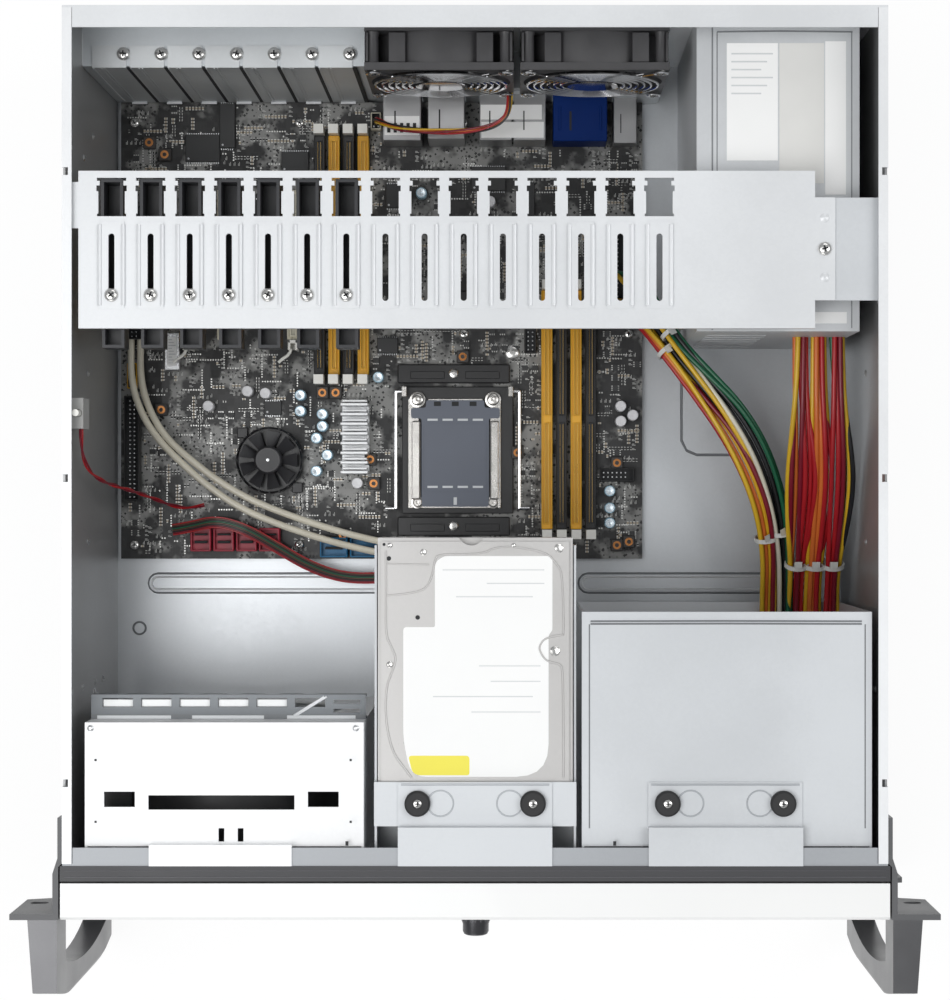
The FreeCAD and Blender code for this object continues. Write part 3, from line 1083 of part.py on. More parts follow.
def cord(name, diameter, points):
    """A plain tube of straight runs joined by tangent arcs, as large as the runs allow."""
    spots = [Vector(*point) for point in points]
    edges = []
    start = spots[0]
    radii = []
    for before, here, after in zip(spots, spots[1:], spots[2:]):
        coming, going = here - before, after - here
        shorter = min(coming.Length, going.Length)
        half_turn = coming.getAngle(going) / 2
        radii.append(0.45 * shorter / math.tan(half_turn))
        coming.normalize()
        going.normalize()
        enter = here - coming * 0.45 * shorter
        leave = here + going * 0.45 * shorter
        away = (going - coming).normalize()
        middle = here + away * (radii[-1] / math.cos(half_turn) - radii[-1])
        edges.append(Part.LineSegment(start, enter).toShape())
        edges.append(Part.Arc(enter, middle, leave).toShape())
        start = leave
    edges.append(Part.LineSegment(start, spots[-1]).toShape())
    path = Part.Wire(edges)
    circle = Part.Wire([Part.Circle(spots[0], spots[1] - spots[0], diameter / 2).toShape()])
    tube = path.makePipeShell([circle], True, False)
    expected = math.pi * diameter ** 2 / 4 * path.Length
    print("%s: length %.0f, smallest radius %.1f (%.1f diameters), volume %.3f of expected" % (
        name, path.Length, min(radii), min(radii) / diameter, tube.Volume / expected))
    return tube


# wiring, as plain tubes: each bundle of leads is one tube of the bundle's diameter
SUPPLY_BUNDLE = 9.0
BOARD_BUNDLE = 8.0
PLUG_FACE = -118.0
PLUG_HEIGHT = 49.5
supply_tubes = []
for name, lane in (("red", 180.0), ("yellow", 190.0), ("dark", 200.0)):
    supply_tubes.append(cord("supply_bundle_" + name, SUPPLY_BUNDLE, [
        (lane - 3, mm("supply_front"), 104), (lane - 3, 30, 104), (lane - 1, 4, 97), (lane + 1, -22, 84),
        (lane + 1, -48, 70), (lane, -73, 57), (lane, -96, PLUG_HEIGHT), (lane, PLUG_FACE, PLUG_HEIGHT)]))
keep("supply_bundle", plain("supply_bundle_tubes", Part.makeCompound(supply_tubes)))
header_top = mm("board_top") + 12
board_tubes = [
    cord("board_bundle_a", BOARD_BUNDLE, [
        (79.5, 82, header_top), (79.5, 82, 36), (81, 80, 50), (86, 74, 62), (95, 63, 70), (107, 47, 75),
        (121, 28, 78), (135, 8, 77), (147, -14, 73), (156, -38, 66), (160, -62, 57.5), (160, -83, 52),
        (160, -101, PLUG_HEIGHT),
        (160, PLUG_FACE, PLUG_HEIGHT)]),
    cord("board_bundle_b", BOARD_BUNDLE, [
        (79.5, 97, header_top), (79.5, 97, 36), (81.5, 95, 51), (87, 88, 64), (97, 75, 73), (109, 56, 79),
        (124, 37, 82), (140, 17, 81), (154, -6, 76), (164, -33, 67), (169, -59, 58), (170, -82, 52),
        (170, -101, PLUG_HEIGHT),
        (170, PLUG_FACE, PLUG_HEIGHT)])]
keep("board_bundle", plain("board_bundle_tubes", Part.makeCompound(board_tubes)))
keep("supply_plugs", group("plug_row", [
    block("plug_%d" % k, (x - 4.9, x + 4.9), (PLUG_FACE - 13, PLUG_FACE), ("bay_floor", "bay_floor + 11"))
    for k, x in enumerate((160.0, 170.0, 180.0, 190.0, 200.0))]))
pale_tubes = []
for name, shift in (("a", 0.0), ("b", 5.5)):
    pale_tubes.append(cord("pale_lead_" + name, 4.0, [
        (-203 + shift, 60.5, 14.2), (-203 + shift, 51, 14.2), (-202.5 + shift, 41, 17.5),
        (-200 + shift, 29, 22.5),
        (-194 + shift, 15, 28), (-185 + shift, 2, 32), (-172 + shift, -11 + 0.3 * shift, 35),
        (-156 + shift, -25 + 0.6 * shift, 36),
        (-137 + shift, -38 + 0.9 * shift, 36), (-113 + shift, -48 + shift, 35),
        (-89 + shift, -56 + shift, 32),
        (-66 + shift, -62 + shift, 28), (-45 + shift, -66 + shift, 23), (-28 + shift, -68 + shift, 20)]))
keep("pale_leads", plain("pale_lead_tubes", Part.makeCompound(pale_tubes)))
keep("panel_harness", plain("panel_harness_tube", cord("panel_harness", 6.0, [
    (-178, -50.5, 20), (-168, -49, 22), (-152, -45, 26), (-135, -50, 26), (-118, -60, 23), (-100, -71, 20),
    (-81, -78, 18), (-61, -79, 17), (-43, -76, 16.5), (-28, -74, 16)])))
switch_x = 5.2 - mm("inner_half")
keep("switch_lead", plain("switch_lead_tube", cord("switch_lead", 2.0, [
    (switch_x, 4, 156), (switch_x, -5, 156), (-206.8, -13, 151), (-205, -19, 140), (-202, -23, 124),
    (-197, -26, 100), (-190, -29, 74), (-183, -33, 50), (-175, -37, 32), (-167, -38, 20),
    (-160, -36, 17)])))
keep("fan_lead", plain("fan_lead_tube", cord("fan_lead", 3.0, [
    (18, mm("fan_front"), 60), (18, 188, 60), (14, 181, 59), (4, 177, 56), (-12, 176, 52), (-33, 177, 48),
    (-49, 180, 43),
    (-58, 185, 35), (-60, 187, 27), (-60, 187, mm("board_top") + 8)])))

doc.recompute()
faults = [item.Label for item in doc.Objects if "Invalid" in item.State or "Error" in item.State]
if faults:
    raise SystemExit("failed objects: " + ", ".join(faults))
os.makedirs("parts", exist_ok=True)
total = 0
for item in parts:
    if item.Shape.isNull() or not item.Shape.isValid() or not item.Shape.Solids:
        raise SystemExit("bad shape: " + item.Label)
    total += len(item.Shape.Solids)
    item.Shape.exportStep("parts/%s.step" % item.Label)
print(len(parts), "parts with", total, "solids")
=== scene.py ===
import math
import random

import bmesh
import bpy
from mathutils import Matrix, Vector


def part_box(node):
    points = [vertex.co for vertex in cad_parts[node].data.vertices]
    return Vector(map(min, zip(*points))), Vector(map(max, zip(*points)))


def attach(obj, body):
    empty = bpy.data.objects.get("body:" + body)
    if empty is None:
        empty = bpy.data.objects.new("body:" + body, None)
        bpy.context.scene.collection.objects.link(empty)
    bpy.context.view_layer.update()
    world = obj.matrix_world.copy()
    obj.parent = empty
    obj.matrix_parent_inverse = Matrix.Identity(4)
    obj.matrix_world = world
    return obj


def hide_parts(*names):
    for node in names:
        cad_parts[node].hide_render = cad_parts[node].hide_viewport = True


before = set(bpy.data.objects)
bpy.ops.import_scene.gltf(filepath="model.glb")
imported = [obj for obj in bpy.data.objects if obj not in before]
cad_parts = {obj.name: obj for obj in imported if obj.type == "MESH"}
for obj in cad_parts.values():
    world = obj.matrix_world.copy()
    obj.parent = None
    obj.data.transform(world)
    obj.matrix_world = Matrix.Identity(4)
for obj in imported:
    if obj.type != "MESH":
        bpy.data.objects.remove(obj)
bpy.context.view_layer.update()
scene = bpy.context.scene
scene.view_settings.view_transform = "Standard"


# Studio.  The case lies open on a pale sheet that fades to white.  A wide soft lamp stands high
# at its left, smaller ones at its right, rear and front, and the camera hangs straight above.
camera = bpy.data.objects.new("camera", bpy.data.cameras.new("camera"))
camera.location = (0.0181, -0.0349, 1.46)
camera.data.lens = 89.2
camera.data.sensor_width = 36
camera.data.shift_x = -0.035
camera.data.shift_y = 0.003
scene.collection.objects.link(camera)
scene.camera = camera
for name, place, aim, width, height, power in (
        ("main_lamp", (-0.9, -0.42, 2.2), (0.0, 0.0, 0.0), 1.5, 1.6, 27),
        ("rear_lamp", (0.5, 1.9, 1.5), (0.0, 0.0, 0.05), 1.4, 1.0, 7),
        ("right_lamp", (1.5, 0.1, 1.9), (0.0, 0.0, 0.05), 1.0, 1.4, 14.5),
        ("front_lamp", (-0.4, -1.9, 0.9), (0.0, -0.2, 0.05), 1.4, 0.8, 6)):
    lamp = bpy.data.lights.new(name, "AREA")
    lamp.shape = "RECTANGLE"
    lamp.size, lamp.size_y = width, height
    lamp.energy = power
    holder = bpy.data.objects.new(name, lamp)
    holder.location = place
    holder.rotation_euler = (Vector(aim) - Vector(place)).to_track_quat("-Z", "Y").to_euler()
    scene.collection.objects.link(holder)


class Shade:
    """One socket of a material: the operators used below add the Math nodes they need."""

    def __init__(self, tree, socket=None):
        self.tree = tree
        self.socket = socket

    def node(self, kind, settings=(), out=0, **values):
        """Add a node of any kind: its settings first, then its sockets by name or as i0, i1."""
        made = self.tree.nodes.new(kind)
        for key, value in dict(settings).items():
            setattr(made, key, value)
        feed(made, **values)
        return Shade(self.tree, made.outputs[out])

    def maths(self, operation, first, second):
        return self.node("ShaderNodeMath", {"operation": operation}, i0=first, i1=second)

    def __add__(self, other):
        return self.maths("ADD", self, other)

    def __sub__(self, other):
        return self.maths("SUBTRACT", self, other)

    def __rsub__(self, other):
        return self.maths("SUBTRACT", other, self)

    def __mul__(self, other):
        return self.maths("MULTIPLY", self, other)

    def rise(self, low, high):
        """Nought below low and one above high, with a smooth step between them."""
        return self.node("ShaderNodeMapRange", {"interpolation_type": "SMOOTHSTEP"}, i0=self, i1=low, i2=high)

    def mix(self, dark, light):
        """The colour between two colours at this factor."""
        dark, light = [c if isinstance(c, Shade) else (*c, 1) for c in (dark, light)]
        return self.node("ShaderNodeMix", {"data_type": "RGBA"}, out=2, i0=self, i6=dark, i7=light)

    def noise(self, scale, detail=2.0, stretch=(1, 1, 1)):
        place = self.node("ShaderNodeMapping", Vector=self, Scale=stretch)
        return self.node("ShaderNodeTexNoise", Vector=place, Scale=scale, Detail=detail)

    def bump(self, depth):
        return self.node("ShaderNodeBump", Height=self, Distance=depth)


def open_finish(name):
    """A new material with its surface shader and its Object coordinates."""
    material = bpy.data.materials.new(name)
    material.use_nodes = True
    shader = material.node_tree.nodes["Principled BSDF"]
    return material, shader, Shade(material.node_tree).node("ShaderNodeTexCoord", out=3)


def feed(node, **values):
    """Set a node's sockets, by name or as i0, i1: a Shade is linked, a number or colour is set."""
    for key, value in values.items():
        entry = node.inputs[int(key[1:]) if key[1:].isdigit() else key.replace("_", " ")]
        if isinstance(value, Shade):
            value.tree.links.new(value.socket, entry)
        else:
            entry.default_value = value


scene.world = bpy.data.worlds.new("studio")
scene.world.use_nodes = True
sky = Shade(scene.world.node_tree)
feed(sky.tree.nodes["Background"], Color=(0.95, 0.975, 1.0, 1), Strength=0.36)
room_light = Shade(sky.tree, sky.tree.nodes["Background"].outputs[0])
backdrop = sky.node("ShaderNodeBackground", Color=(1, 1, 1, 1))
chosen = sky.node("ShaderNodeMixShader", i0=sky.node("ShaderNodeLightPath", out="Is Camera Ray"),
                  i1=room_light, i2=backdrop)
feed(sky.tree.nodes["World Output"], Surface=chosen)
material, shader, place = open_finish("studio_sheet")
feed(shader, Base_Color=place.noise(3).mix((0.86, 0.87, 0.88), (0.9, 0.9, 0.9)), Roughness=0.9)
straight, mirrored, through = [place.node("ShaderNodeLightPath", out="Is %s Ray" % kind)
                               for kind in ("Camera", "Glossy", "Transmission")]
glow = place.node("ShaderNodeEmission", Color=(1, 1, 1, 1), Strength=1.02)
seen = (straight + mirrored + through) * 0.9
shaded = Shade(material.node_tree, shader.outputs["BSDF"])
blended = place.node("ShaderNodeMixShader", i0=seen, i1=shaded, i2=glow)
feed(material.node_tree.nodes["Material Output"], Surface=blended)
sheet = bpy.data.meshes.new("studio_sheet")
sheet.from_pydata([(-4, -4, -0.0004), (4, -4, -0.0004), (4, 4, -0.0004), (-4, 4, -0.0004)], [],
                  [(0, 1, 2, 3)])
sheet.materials.append(material)
floor_sheet = bpy.data.objects.new("studio_sheet", sheet)
scene.collection.objects.link(floor_sheet)


# Wiring.  Stranded copper leads in coloured plastic insulation, gathered in bundles
# by nylon ties: power leads on the right, panel and switch leads on the left.
def line_through(route):
    """The smooth line of a route, read from a NURBS spline with the route's points."""
    curve = bpy.data.curves.new("route", "CURVE")
    curve.dimensions = "3D"
    curve.resolution_u = 7
    spline = curve.splines.new("NURBS")
    spline.points.add(len(route) - 1)
    for spot, place in zip(spline.points, route):
        spot.co = (*[c / 1000 for c in place], 1)
    spline.order_u = 3
    spline.use_endpoint_u = True
    holder = bpy.data.objects.new("route", curve)
    mesh = bpy.data.meshes.new_from_object(holder)
    line = [v.co.copy() for v in mesh.vertices]
    bpy.data.objects.remove(holder)
    bpy.data.meshes.remove(mesh)
    return line


def frames_along(line):
    """Each point's tangent with two normals that turn as little as possible along the line."""
    tangents = [(b - a).normalized() for a, b in zip(line, line[1:])]
    tangents.append(tangents[-1])
    side = tangents[0].cross(Vector((0, 0, 1)))
    if side.length < 0.1:
        side = Vector((1, 0, 0))
    side.normalize()
    rows = []
    for point, tangent in zip(line, tangents):
        side = (side - tangent * side.dot(tangent)).normalized()
        rows.append((point, side, side.cross(tangent)))
    return rows


def circle(build, middle, side, up, radius, sides):
    """New points round a middle, in the plane of two directions."""
    return [build.verts.new(middle + side * radius * math.cos(a) + up * radius * math.sin(a))
            for a in [2 * math.pi * j / sides for j in range(sides)]]


def skin(build, rings, index=0, capped=True):
    """Faces from each ring of points to the next and over the ends; a ring may be one point."""
    for low, high in zip(rings, rings[1:]):
        for k in range(max(len(low), len(high))):
            loop = [ring[(k + step) % len(ring)]
                    for ring, step in ((low, 0), (low, 1), (high, 1), (high, 0))]
            build.faces.new(tuple(dict.fromkeys(loop))).material_index = index
    for ring in (rings[0][::-1], rings[-1]):
        if capped and len(ring) > 1:
            build.faces.new(ring).material_index = index


def sweep(build, rows, radius, sides=6, index=0, shift=(0.0, 0.0), turn=0.0):
    """A round strand along the rows, held off their middle and wound round it."""
    rings = []
    reach = math.hypot(*shift)
    begin = math.atan2(shift[1], shift[0])
    travelled = 0.0
    for k, (point, side, up) in enumerate(rows):
        if k:
            travelled += (point - rows[k - 1][0]).length
        angle = begin + turn * travelled
        middle = point + side * reach * math.cos(angle) + up * reach * math.sin(angle)
        rings.append(circle(build, middle, side, up, radius, sides))
    skin(build, rings, index)


def wire(build, points, gauge, sides=6, index=0):
    """A round wire of the given radius through points, all in millimetres."""
    sweep(build, frames_along([Vector(point) / 1000 for point in points]), gauge / 1000, sides, index)


def box_corners(node):
    """A node's low and high corner in millimetres."""
    return [corner * 1000 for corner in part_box(node)]


def settle(thing, body, replaces):
    """Smooth a piece up to its sharp edges; say what it rides on and which nodes it stands for."""
    thing.data.shade_smooth()
    thing.data.set_sharp_from_angle(angle=math.radians(35))
    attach(thing, body)
    if replaces:
        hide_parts(*replaces)


def make_piece(name, build, finishes, body="chassis", replaces=()):
    """Turn a build into a piece that rides on a body and stands for the named nodes."""
    bmesh.ops.recalc_face_normals(build, faces=build.faces)
    mesh = bpy.data.meshes.new(name)
    build.to_mesh(mesh)
    build.free()
    for finish in finishes:
        mesh.materials.append(finish)
    thing = bpy.data.objects.new(name, mesh)
    scene.collection.objects.link(thing)
    settle(thing, body, replaces)
    return thing


def moulded(name, colour, roughness=0.45, mottle=0.12, grain=1400, depth=0.00003, metallic=0.0,
            cloud_scale=60, **constants):
    """A plastic, rubber, paint or plain metal finish with clouded colour, uneven gloss and fine grain."""
    material, shader, place = open_finish(name)
    cloud = place.noise(cloud_scale, 4)
    low = [c * (1 - mottle) for c in colour]
    high = [min(1, c * (1 + mottle)) for c in colour]
    feed(shader, Base_Color=cloud.mix(low, high), Roughness=(cloud - 0.5) * 0.24 + roughness,
         Normal=place.noise(grain, 3).bump(depth), Metallic=metallic, **constants)
    return material


INSULATION = {
    "red": (0.42, 0.012, 0.018), "yellow": (0.68, 0.42, 0.02), "orange": (0.66, 0.16, 0.03),
    "black": (0.012, 0.012, 0.014), "green": (0.008, 0.11, 0.05), "crimson": (0.2, 0.006, 0.02),
    "brown": (0.11, 0.045, 0.025), "cream": (0.68, 0.64, 0.53),
}
INSULATION = {name: moulded("insulation_" + name, colour, 0.36, 0.15, 700, 0.00004, Coat_Weight=0.15)
              for name, colour in INSULATION.items()}
nylon = moulded("nylon_tie", (0.74, 0.74, 0.71), 0.4, 0.06, 900)


def declare(name, build, kinds, replaces):
    """Turn a build into a piece finished in the insulation colours."""
    thing = make_piece(name, build, [INSULATION[kind] for kind in kinds], "chassis", replaces)


def bundle(name, route, diameter, colours, replaces, turn=0.0, flat=True):
    """Coloured leads along a route, side by side or round a core, made as one piece."""
    line = line_through(route)
    rows = frames_along(line)
    build = bmesh.new()
    kinds = sorted(set(colours))
    count = len(colours)
    if flat:
        lead = diameter / 2000 / count * 1.02
        spots = [((2 * k + 1 - count) * lead, 0.0) for k in range(count)]
    else:
        lead = diameter / 1000 * 0.155
        ring = diameter / 2000 - lead
        angles = [2 * math.pi * k / (count - 1) for k in range(count - 1)]
        spots = [(0.0, 0.0)] + [(ring * math.cos(a), ring * math.sin(a)) for a in angles]
    for spot, colour in zip(spots, colours):
        sweep(build, rows, lead, 6, kinds.index(colour), spot, turn)
    declare(name, build, kinds, replaces)


def cable(name, route, diameter, colour, replaces):
    """One round cable along a route, made as one piece."""
    line = line_through(route)
    build = bmesh.new()
    sweep(build, frames_along(line), diameter / 2000, 12)
    declare(name, build, [colour], replaces)


def leads(name, route, gauge, swell, strands, replaces):
    """Loose leads of one bundle: each starts and ends in the tube and bows out between."""
    for number, (colour, tuck, bow) in enumerate(strands):
        spots = []
        for point, share in zip(route, swell):
            shift = [a * (1 - share) + b * share for a, b in zip(tuck, bow)]
            spots.append([a + b for a, b in zip(point, shift)])
        cable("%s_%d" % (name, number + 1), spots, gauge, colour, replaces)


PACKED = ((0, 0, 0), (2.9, 0, 0), (1.5, 0, 2.5), (-1.5, 0, 2.5), (-2.9, 0, 0), (-1.5, 0, -2.5),
          (1.5, 0, -2.5))
SUPPLY_SWELL = (0.0, 0.1, 0.6, 1.0, 0.75, 0.2, 0.3, 0.6)
SUPPLY_LANES = (
    ("left", 180, "red red crimson yellow orange crimson red".split(),
     ((1, 0, 4), (4, 0, 2), (-2, 0, 3), (-9, 0, 0), (-4, 0, -1), (-7, 0, 2), (7, 0, 4))),
    ("middle", 190, "orange yellow red orange yellow black red".split(),
     ((0, 0, 4), (5, 0, 0), (2, 0, 5), (-3, 0, 3), (-6, 0, 1), (-2, 0, -3), (6, 0, 3))),
    ("right", 200, "red yellow crimson red green black black".split(),
     ((-1, 0, 4), (6, 0, 1), (2, 0, 3), (-5, 0, 4), (7, 0, -3), (4, 0, -4), (8, 0, 3))))
BOARD_SWELL = (0.0, 0.1, 0.4, 0.7, 0.4, 0.2, 0.5, 0.9, 1.0, 1.0, 0.9, 0.9, 0.9, 0.8)
BOARD_LANES = (
    ("low", "yellow black yellow orange red crimson orange".split(),
     ((6, -2, 0), (9, 0, 2), (1, -4, 3), (4, -5, 0), (2, -6, -2), (8, -3, 4), (6, 0, -4)), [
         (79.5, 82, 22), (79.5, 82, 36), (81, 80, 50), (86, 74, 62), (95, 63, 70), (107, 47, 75),
         (121, 28, 78), (135, 8, 77), (147, -14, 73), (156, -38, 66), (160, -62, 57.5), (160, -83, 52),
         (160, -101, 49.5), (160, -118, 49.5)]),
    ("high", "black green black yellow green black cream".split(),
     ((5, 0, 0), (8, 3, 1), (9, 0, -3), (-2, -3, 2), (7, 2, 3), (3, -2, -3), (1, -4, 3)), [
         (79.5, 97, 22), (79.5, 97, 36), (81.5, 95, 51), (87, 88, 64), (97, 75, 73), (109, 56, 79),
         (124, 37, 82), (140, 17, 81), (154, -6, 76), (164, -33, 67), (169, -59, 58), (170, -82, 52),
         (170, -101, 49.5), (170, -118, 49.5)]))
ties = bmesh.new()


def tie_round(rows, share, radius):
    """A nylon tie pulled tight round a bundle, with its square lock on top."""
    point, side, up = rows[int(len(rows) * share)]
    along = side.cross(up)
    half_band, outer = 0.0012, radius + 0.0008
    rings = [circle(ties, point + along * shift, side, up, reach, 18) for reach, shift in (
        (radius, -half_band), (outer, -half_band), (outer, half_band), (radius, half_band))]
    skin(ties, rings + rings[:1], 0, False)
    centre = point + Vector((0, 0, radius + 0.0014))
    head = bmesh.ops.create_cube(ties, size=1.0)["verts"]
    for vertex in head:
        x, y, z = vertex.co
        vertex.co = centre + side * x * 0.0042 + along * y * 0.0036 + Vector((0, 0, z * 0.003))


for name, lane, colours, bows in SUPPLY_LANES:
    route = [(lane - 3, 55.8, 104), (lane - 3, 30, 104), (lane - 1, 4, 97), (lane + 1, -22, 84),
             (lane + 1, -48, 70), (lane, -73, 57), (lane, -96, 49.5), (lane, -118, 49.5)]
    leads("supply_lead_" + name, route, 2.9, SUPPLY_SWELL, list(zip(colours, PACKED, bows)),
          ("supply_bundle",))
    tie_round(frames_along(line_through(route)), 0.72, 0.0062)
for name, colours, bows, route in BOARD_LANES:
    leads("board_lead_" + name, route, 2.8, BOARD_SWELL, list(zip(colours, PACKED, bows)), ("board_bundle",))
    tie_round(frames_along(line_through([(x + 2, y, z) for x, y, z in route])), 0.36, 0.006)
    tie_round(frames_along(line_through([(x + 4, y, z) for x, y, z in route])), 0.76, 0.006)
make_piece("cable_ties", ties, [nylon])
pale_route = ((-203, 60.5, 14.2, 0), (-203, 51, 14.2, 0), (-202.5, 41, 17.5, 0), (-200, 29, 22.5, 0),
              (-194, 15, 28, 0), (-185, 2, 32, 0), (-172, -11, 35, 0.3), (-156, -25, 36, 0.6),
              (-137, -38, 36, 0.9), (-113, -48, 35, 1), (-89, -56, 32, 1), (-66, -62, 28, 1),
              (-45, -66, 23, 1), (-28, -68, 20, 1))
for name, shift in (("a", 0.0), ("b", 5.5)):
    route = [(x + shift, y + spread * shift, z) for x, y, z, spread in pale_route]
    cable("pale_cable_" + name, route, 4.0, "cream", ("pale_leads",))
harness_route = [(-178, -50.5, 20), (-168, -49, 22), (-152, -45, 26), (-135, -50, 26), (-118, -60, 23),
                 (-100, -71, 20), (-81, -78, 18), (-61, -79, 17), (-43, -76, 16.5), (-28, -74, 16)]
bundle("panel_harness_leads", harness_route, 6.6, "red brown black green brown black crimson red".split(),
       ("panel_harness",))
switch_route = [(-207.6, 4, 156), (-207.6, -5, 156), (-206.8, -13, 151), (-205, -19, 140), (-202, -23, 124),
                (-197, -26, 100), (-190, -29, 74), (-183, -33, 50), (-175, -37, 32), (-167, -38, 20),
                (-160, -36, 17)]
bundle("switch_wires", switch_route, 2.4, "red crimson".split(), ("switch_lead",), 160.0)
fan_route = [(18, 196.8, 60), (18, 188, 60), (14, 181, 59), (4, 177, 56), (-12, 176, 52), (-33, 177, 48),
             (-49, 180, 43), (-58, 185, 35), (-60, 187, 27), (-60, 187, 18)]
bundle("fan_wires", fan_route, 3.6, "orange red black yellow crimson".split(), ("fan_lead",), 60.0, False)


# Folded sheet.  The pan, panels, cages, tray and brackets are bent from thin sheet with a
# bright zinc coat: pale, faintly blue, with a fine grain and cloudy patches of gloss.
def zinc(name, colour, gloss=0.36, metallic=0.15, cloud_scale=9.0, cloud=0.05, deep=None):
    """Zinc-coated sheet: fine spangle, soft clouds in colour and gloss, and a rolled grain.

    Below deep, a height in metres, the sheet is darker and more metallic: painted shade.
    """
    material, shader, place = open_finish(name)
    spangle = place.node("ShaderNodeTexVoronoi", out=1, Vector=place, Scale=700.0)
    spangle = spangle.node("ShaderNodeSeparateColor", Color=spangle)
    patches = place.noise(cloud_scale, 5)
    tone = spangle * 0.06 + patches * 0.94
    dark = [c * (1 - cloud) for c in colour]
    light = [min(1, c * (1 + cloud)) for c in colour]
    finish = tone.rise(0.3, 0.7).mix(dark, light)
    # Painted shade: below the given height the colour falls to under half and the sheet turns more metallic.
    if deep:
        height = place.node("ShaderNodeSeparateXYZ", out=2, Vector=place)
        unshaded = height.rise(deep - 0.001, deep)
        finish = unshaded.mix([c * 0.45 for c in colour], finish)
        metallic = unshaded * (metallic - 0.45) + 0.45
    feed(shader, Base_Color=finish, Metallic=metallic,
         Roughness=(patches - 0.5) * 0.3 + spangle * 0.03 + gloss,
         Normal=place.noise(900, 3, (1, 0.06, 1)).bump(0.000012))
    return material


def coat(finish, *nodes):
    """Give CAD nodes that keep their own shape a finish."""
    for node in nodes:
        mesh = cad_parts[node].data
        mesh.materials.clear()
        mesh.materials.append(finish)


pale_zinc = zinc("pale_zinc", (0.72, 0.735, 0.75))
coat(pale_zinc, "hold_down_bar", "rear_panel")
# The side walls' inner faces below their top edge carry painted shade.
coat(zinc("wall_zinc", (0.8, 0.81, 0.82), deep=0.1757), "side_walls")
coat(zinc("front_zinc", (0.36, 0.375, 0.395), 0.38), "front_panel")
coat(zinc("cage_zinc", (0.6, 0.62, 0.64), 0.38), "drive_cage", "mounting_brackets", "drive_tray")
# The card guide is a much darker copy of the cage's zinc: painted shade over the guide ledge.
coat(zinc("guide_zinc_painted_shade", (0.2, 0.215, 0.23), 0.42), "card_guide")
coat(zinc("fan_cage_zinc", (0.86, 0.865, 0.87), 0.42, 0.1), "fan_cage")
coat(zinc("floor_zinc", (0.56, 0.58, 0.6), 0.36, 0.88, 6.0, 0.06), "base_floor")
coat(zinc("recess_zinc", (0.6, 0.63, 0.65), 0.4, 0.35), "rear_recess")
cover_zinc = zinc("cover_zinc", (0.62, 0.64, 0.65), 0.42, 0.45, 30.0)
coat(cover_zinc, "slot_covers")


# Sheet details.  Small square piercings, rivets in rows on the walls, and the raised runs
# beside the slots of the hold-down bar, all punched or pressed in the sheet before it is folded.
def brick(build, low, high, index=0, chamfer=0.3, well=None, toward=(0, 0, 1), at=(0, 0, 0)):
    """A block between two corners in millimetres with broken edges and, if wanted, a sunk face."""
    low, high = [Vector([a + b for a, b in zip(corner, at)]) / 1000 for corner in (low, high)]
    corners = bmesh.ops.create_cube(build, size=1.0)["verts"]
    for corner in corners:
        corner.co = [(a + b) / 2 + c * (b - a) for a, b, c in zip(low, high, corner.co)]
    faces = list(dict.fromkeys(face for corner in corners for face in corner.link_faces))
    edges = list(dict.fromkeys(edge for corner in corners for edge in corner.link_edges))
    for face in faces:
        face.material_index = index
    if well:
        wall, depth, inner = well
        way = Vector(toward)
        top = max(faces, key=lambda face: face.calc_center_median().dot(way))
        bmesh.ops.inset_individual(build, faces=[top], thickness=wall / 1000)
        sunk = bmesh.ops.extrude_discrete_faces(build, faces=[top])["faces"][0]
        for face in [sunk] + [face for edge in sunk.edges for face in edge.link_faces]:
            face.material_index = inner
        for corner in sunk.verts:
            corner.co -= way * depth / 1000
    if chamfer:
        bmesh.ops.bevel(build, geom=edges, offset=chamfer / 1000, segments=1, profile=0.5,
                        affect="EDGES", material=-1)


def bricks(build, at, *rows):
    """Blocks with their corners counted from one spot, a row of brick's values for each."""
    for row in rows:
        brick(build, *row, at=at)


def lathe(build, centre, profile, sides=24, index=0, turn=None):
    """A turned form from (radius, height) steps in millimetres about an upright line, then turned over."""
    side, up, along = (turn or Matrix.Identity(3)).col
    skin(build, [circle(build, (Vector(centre) + along * height) / 1000, side, up, radius / 1000,
                        sides if radius else 1) for radius, height in profile], index)


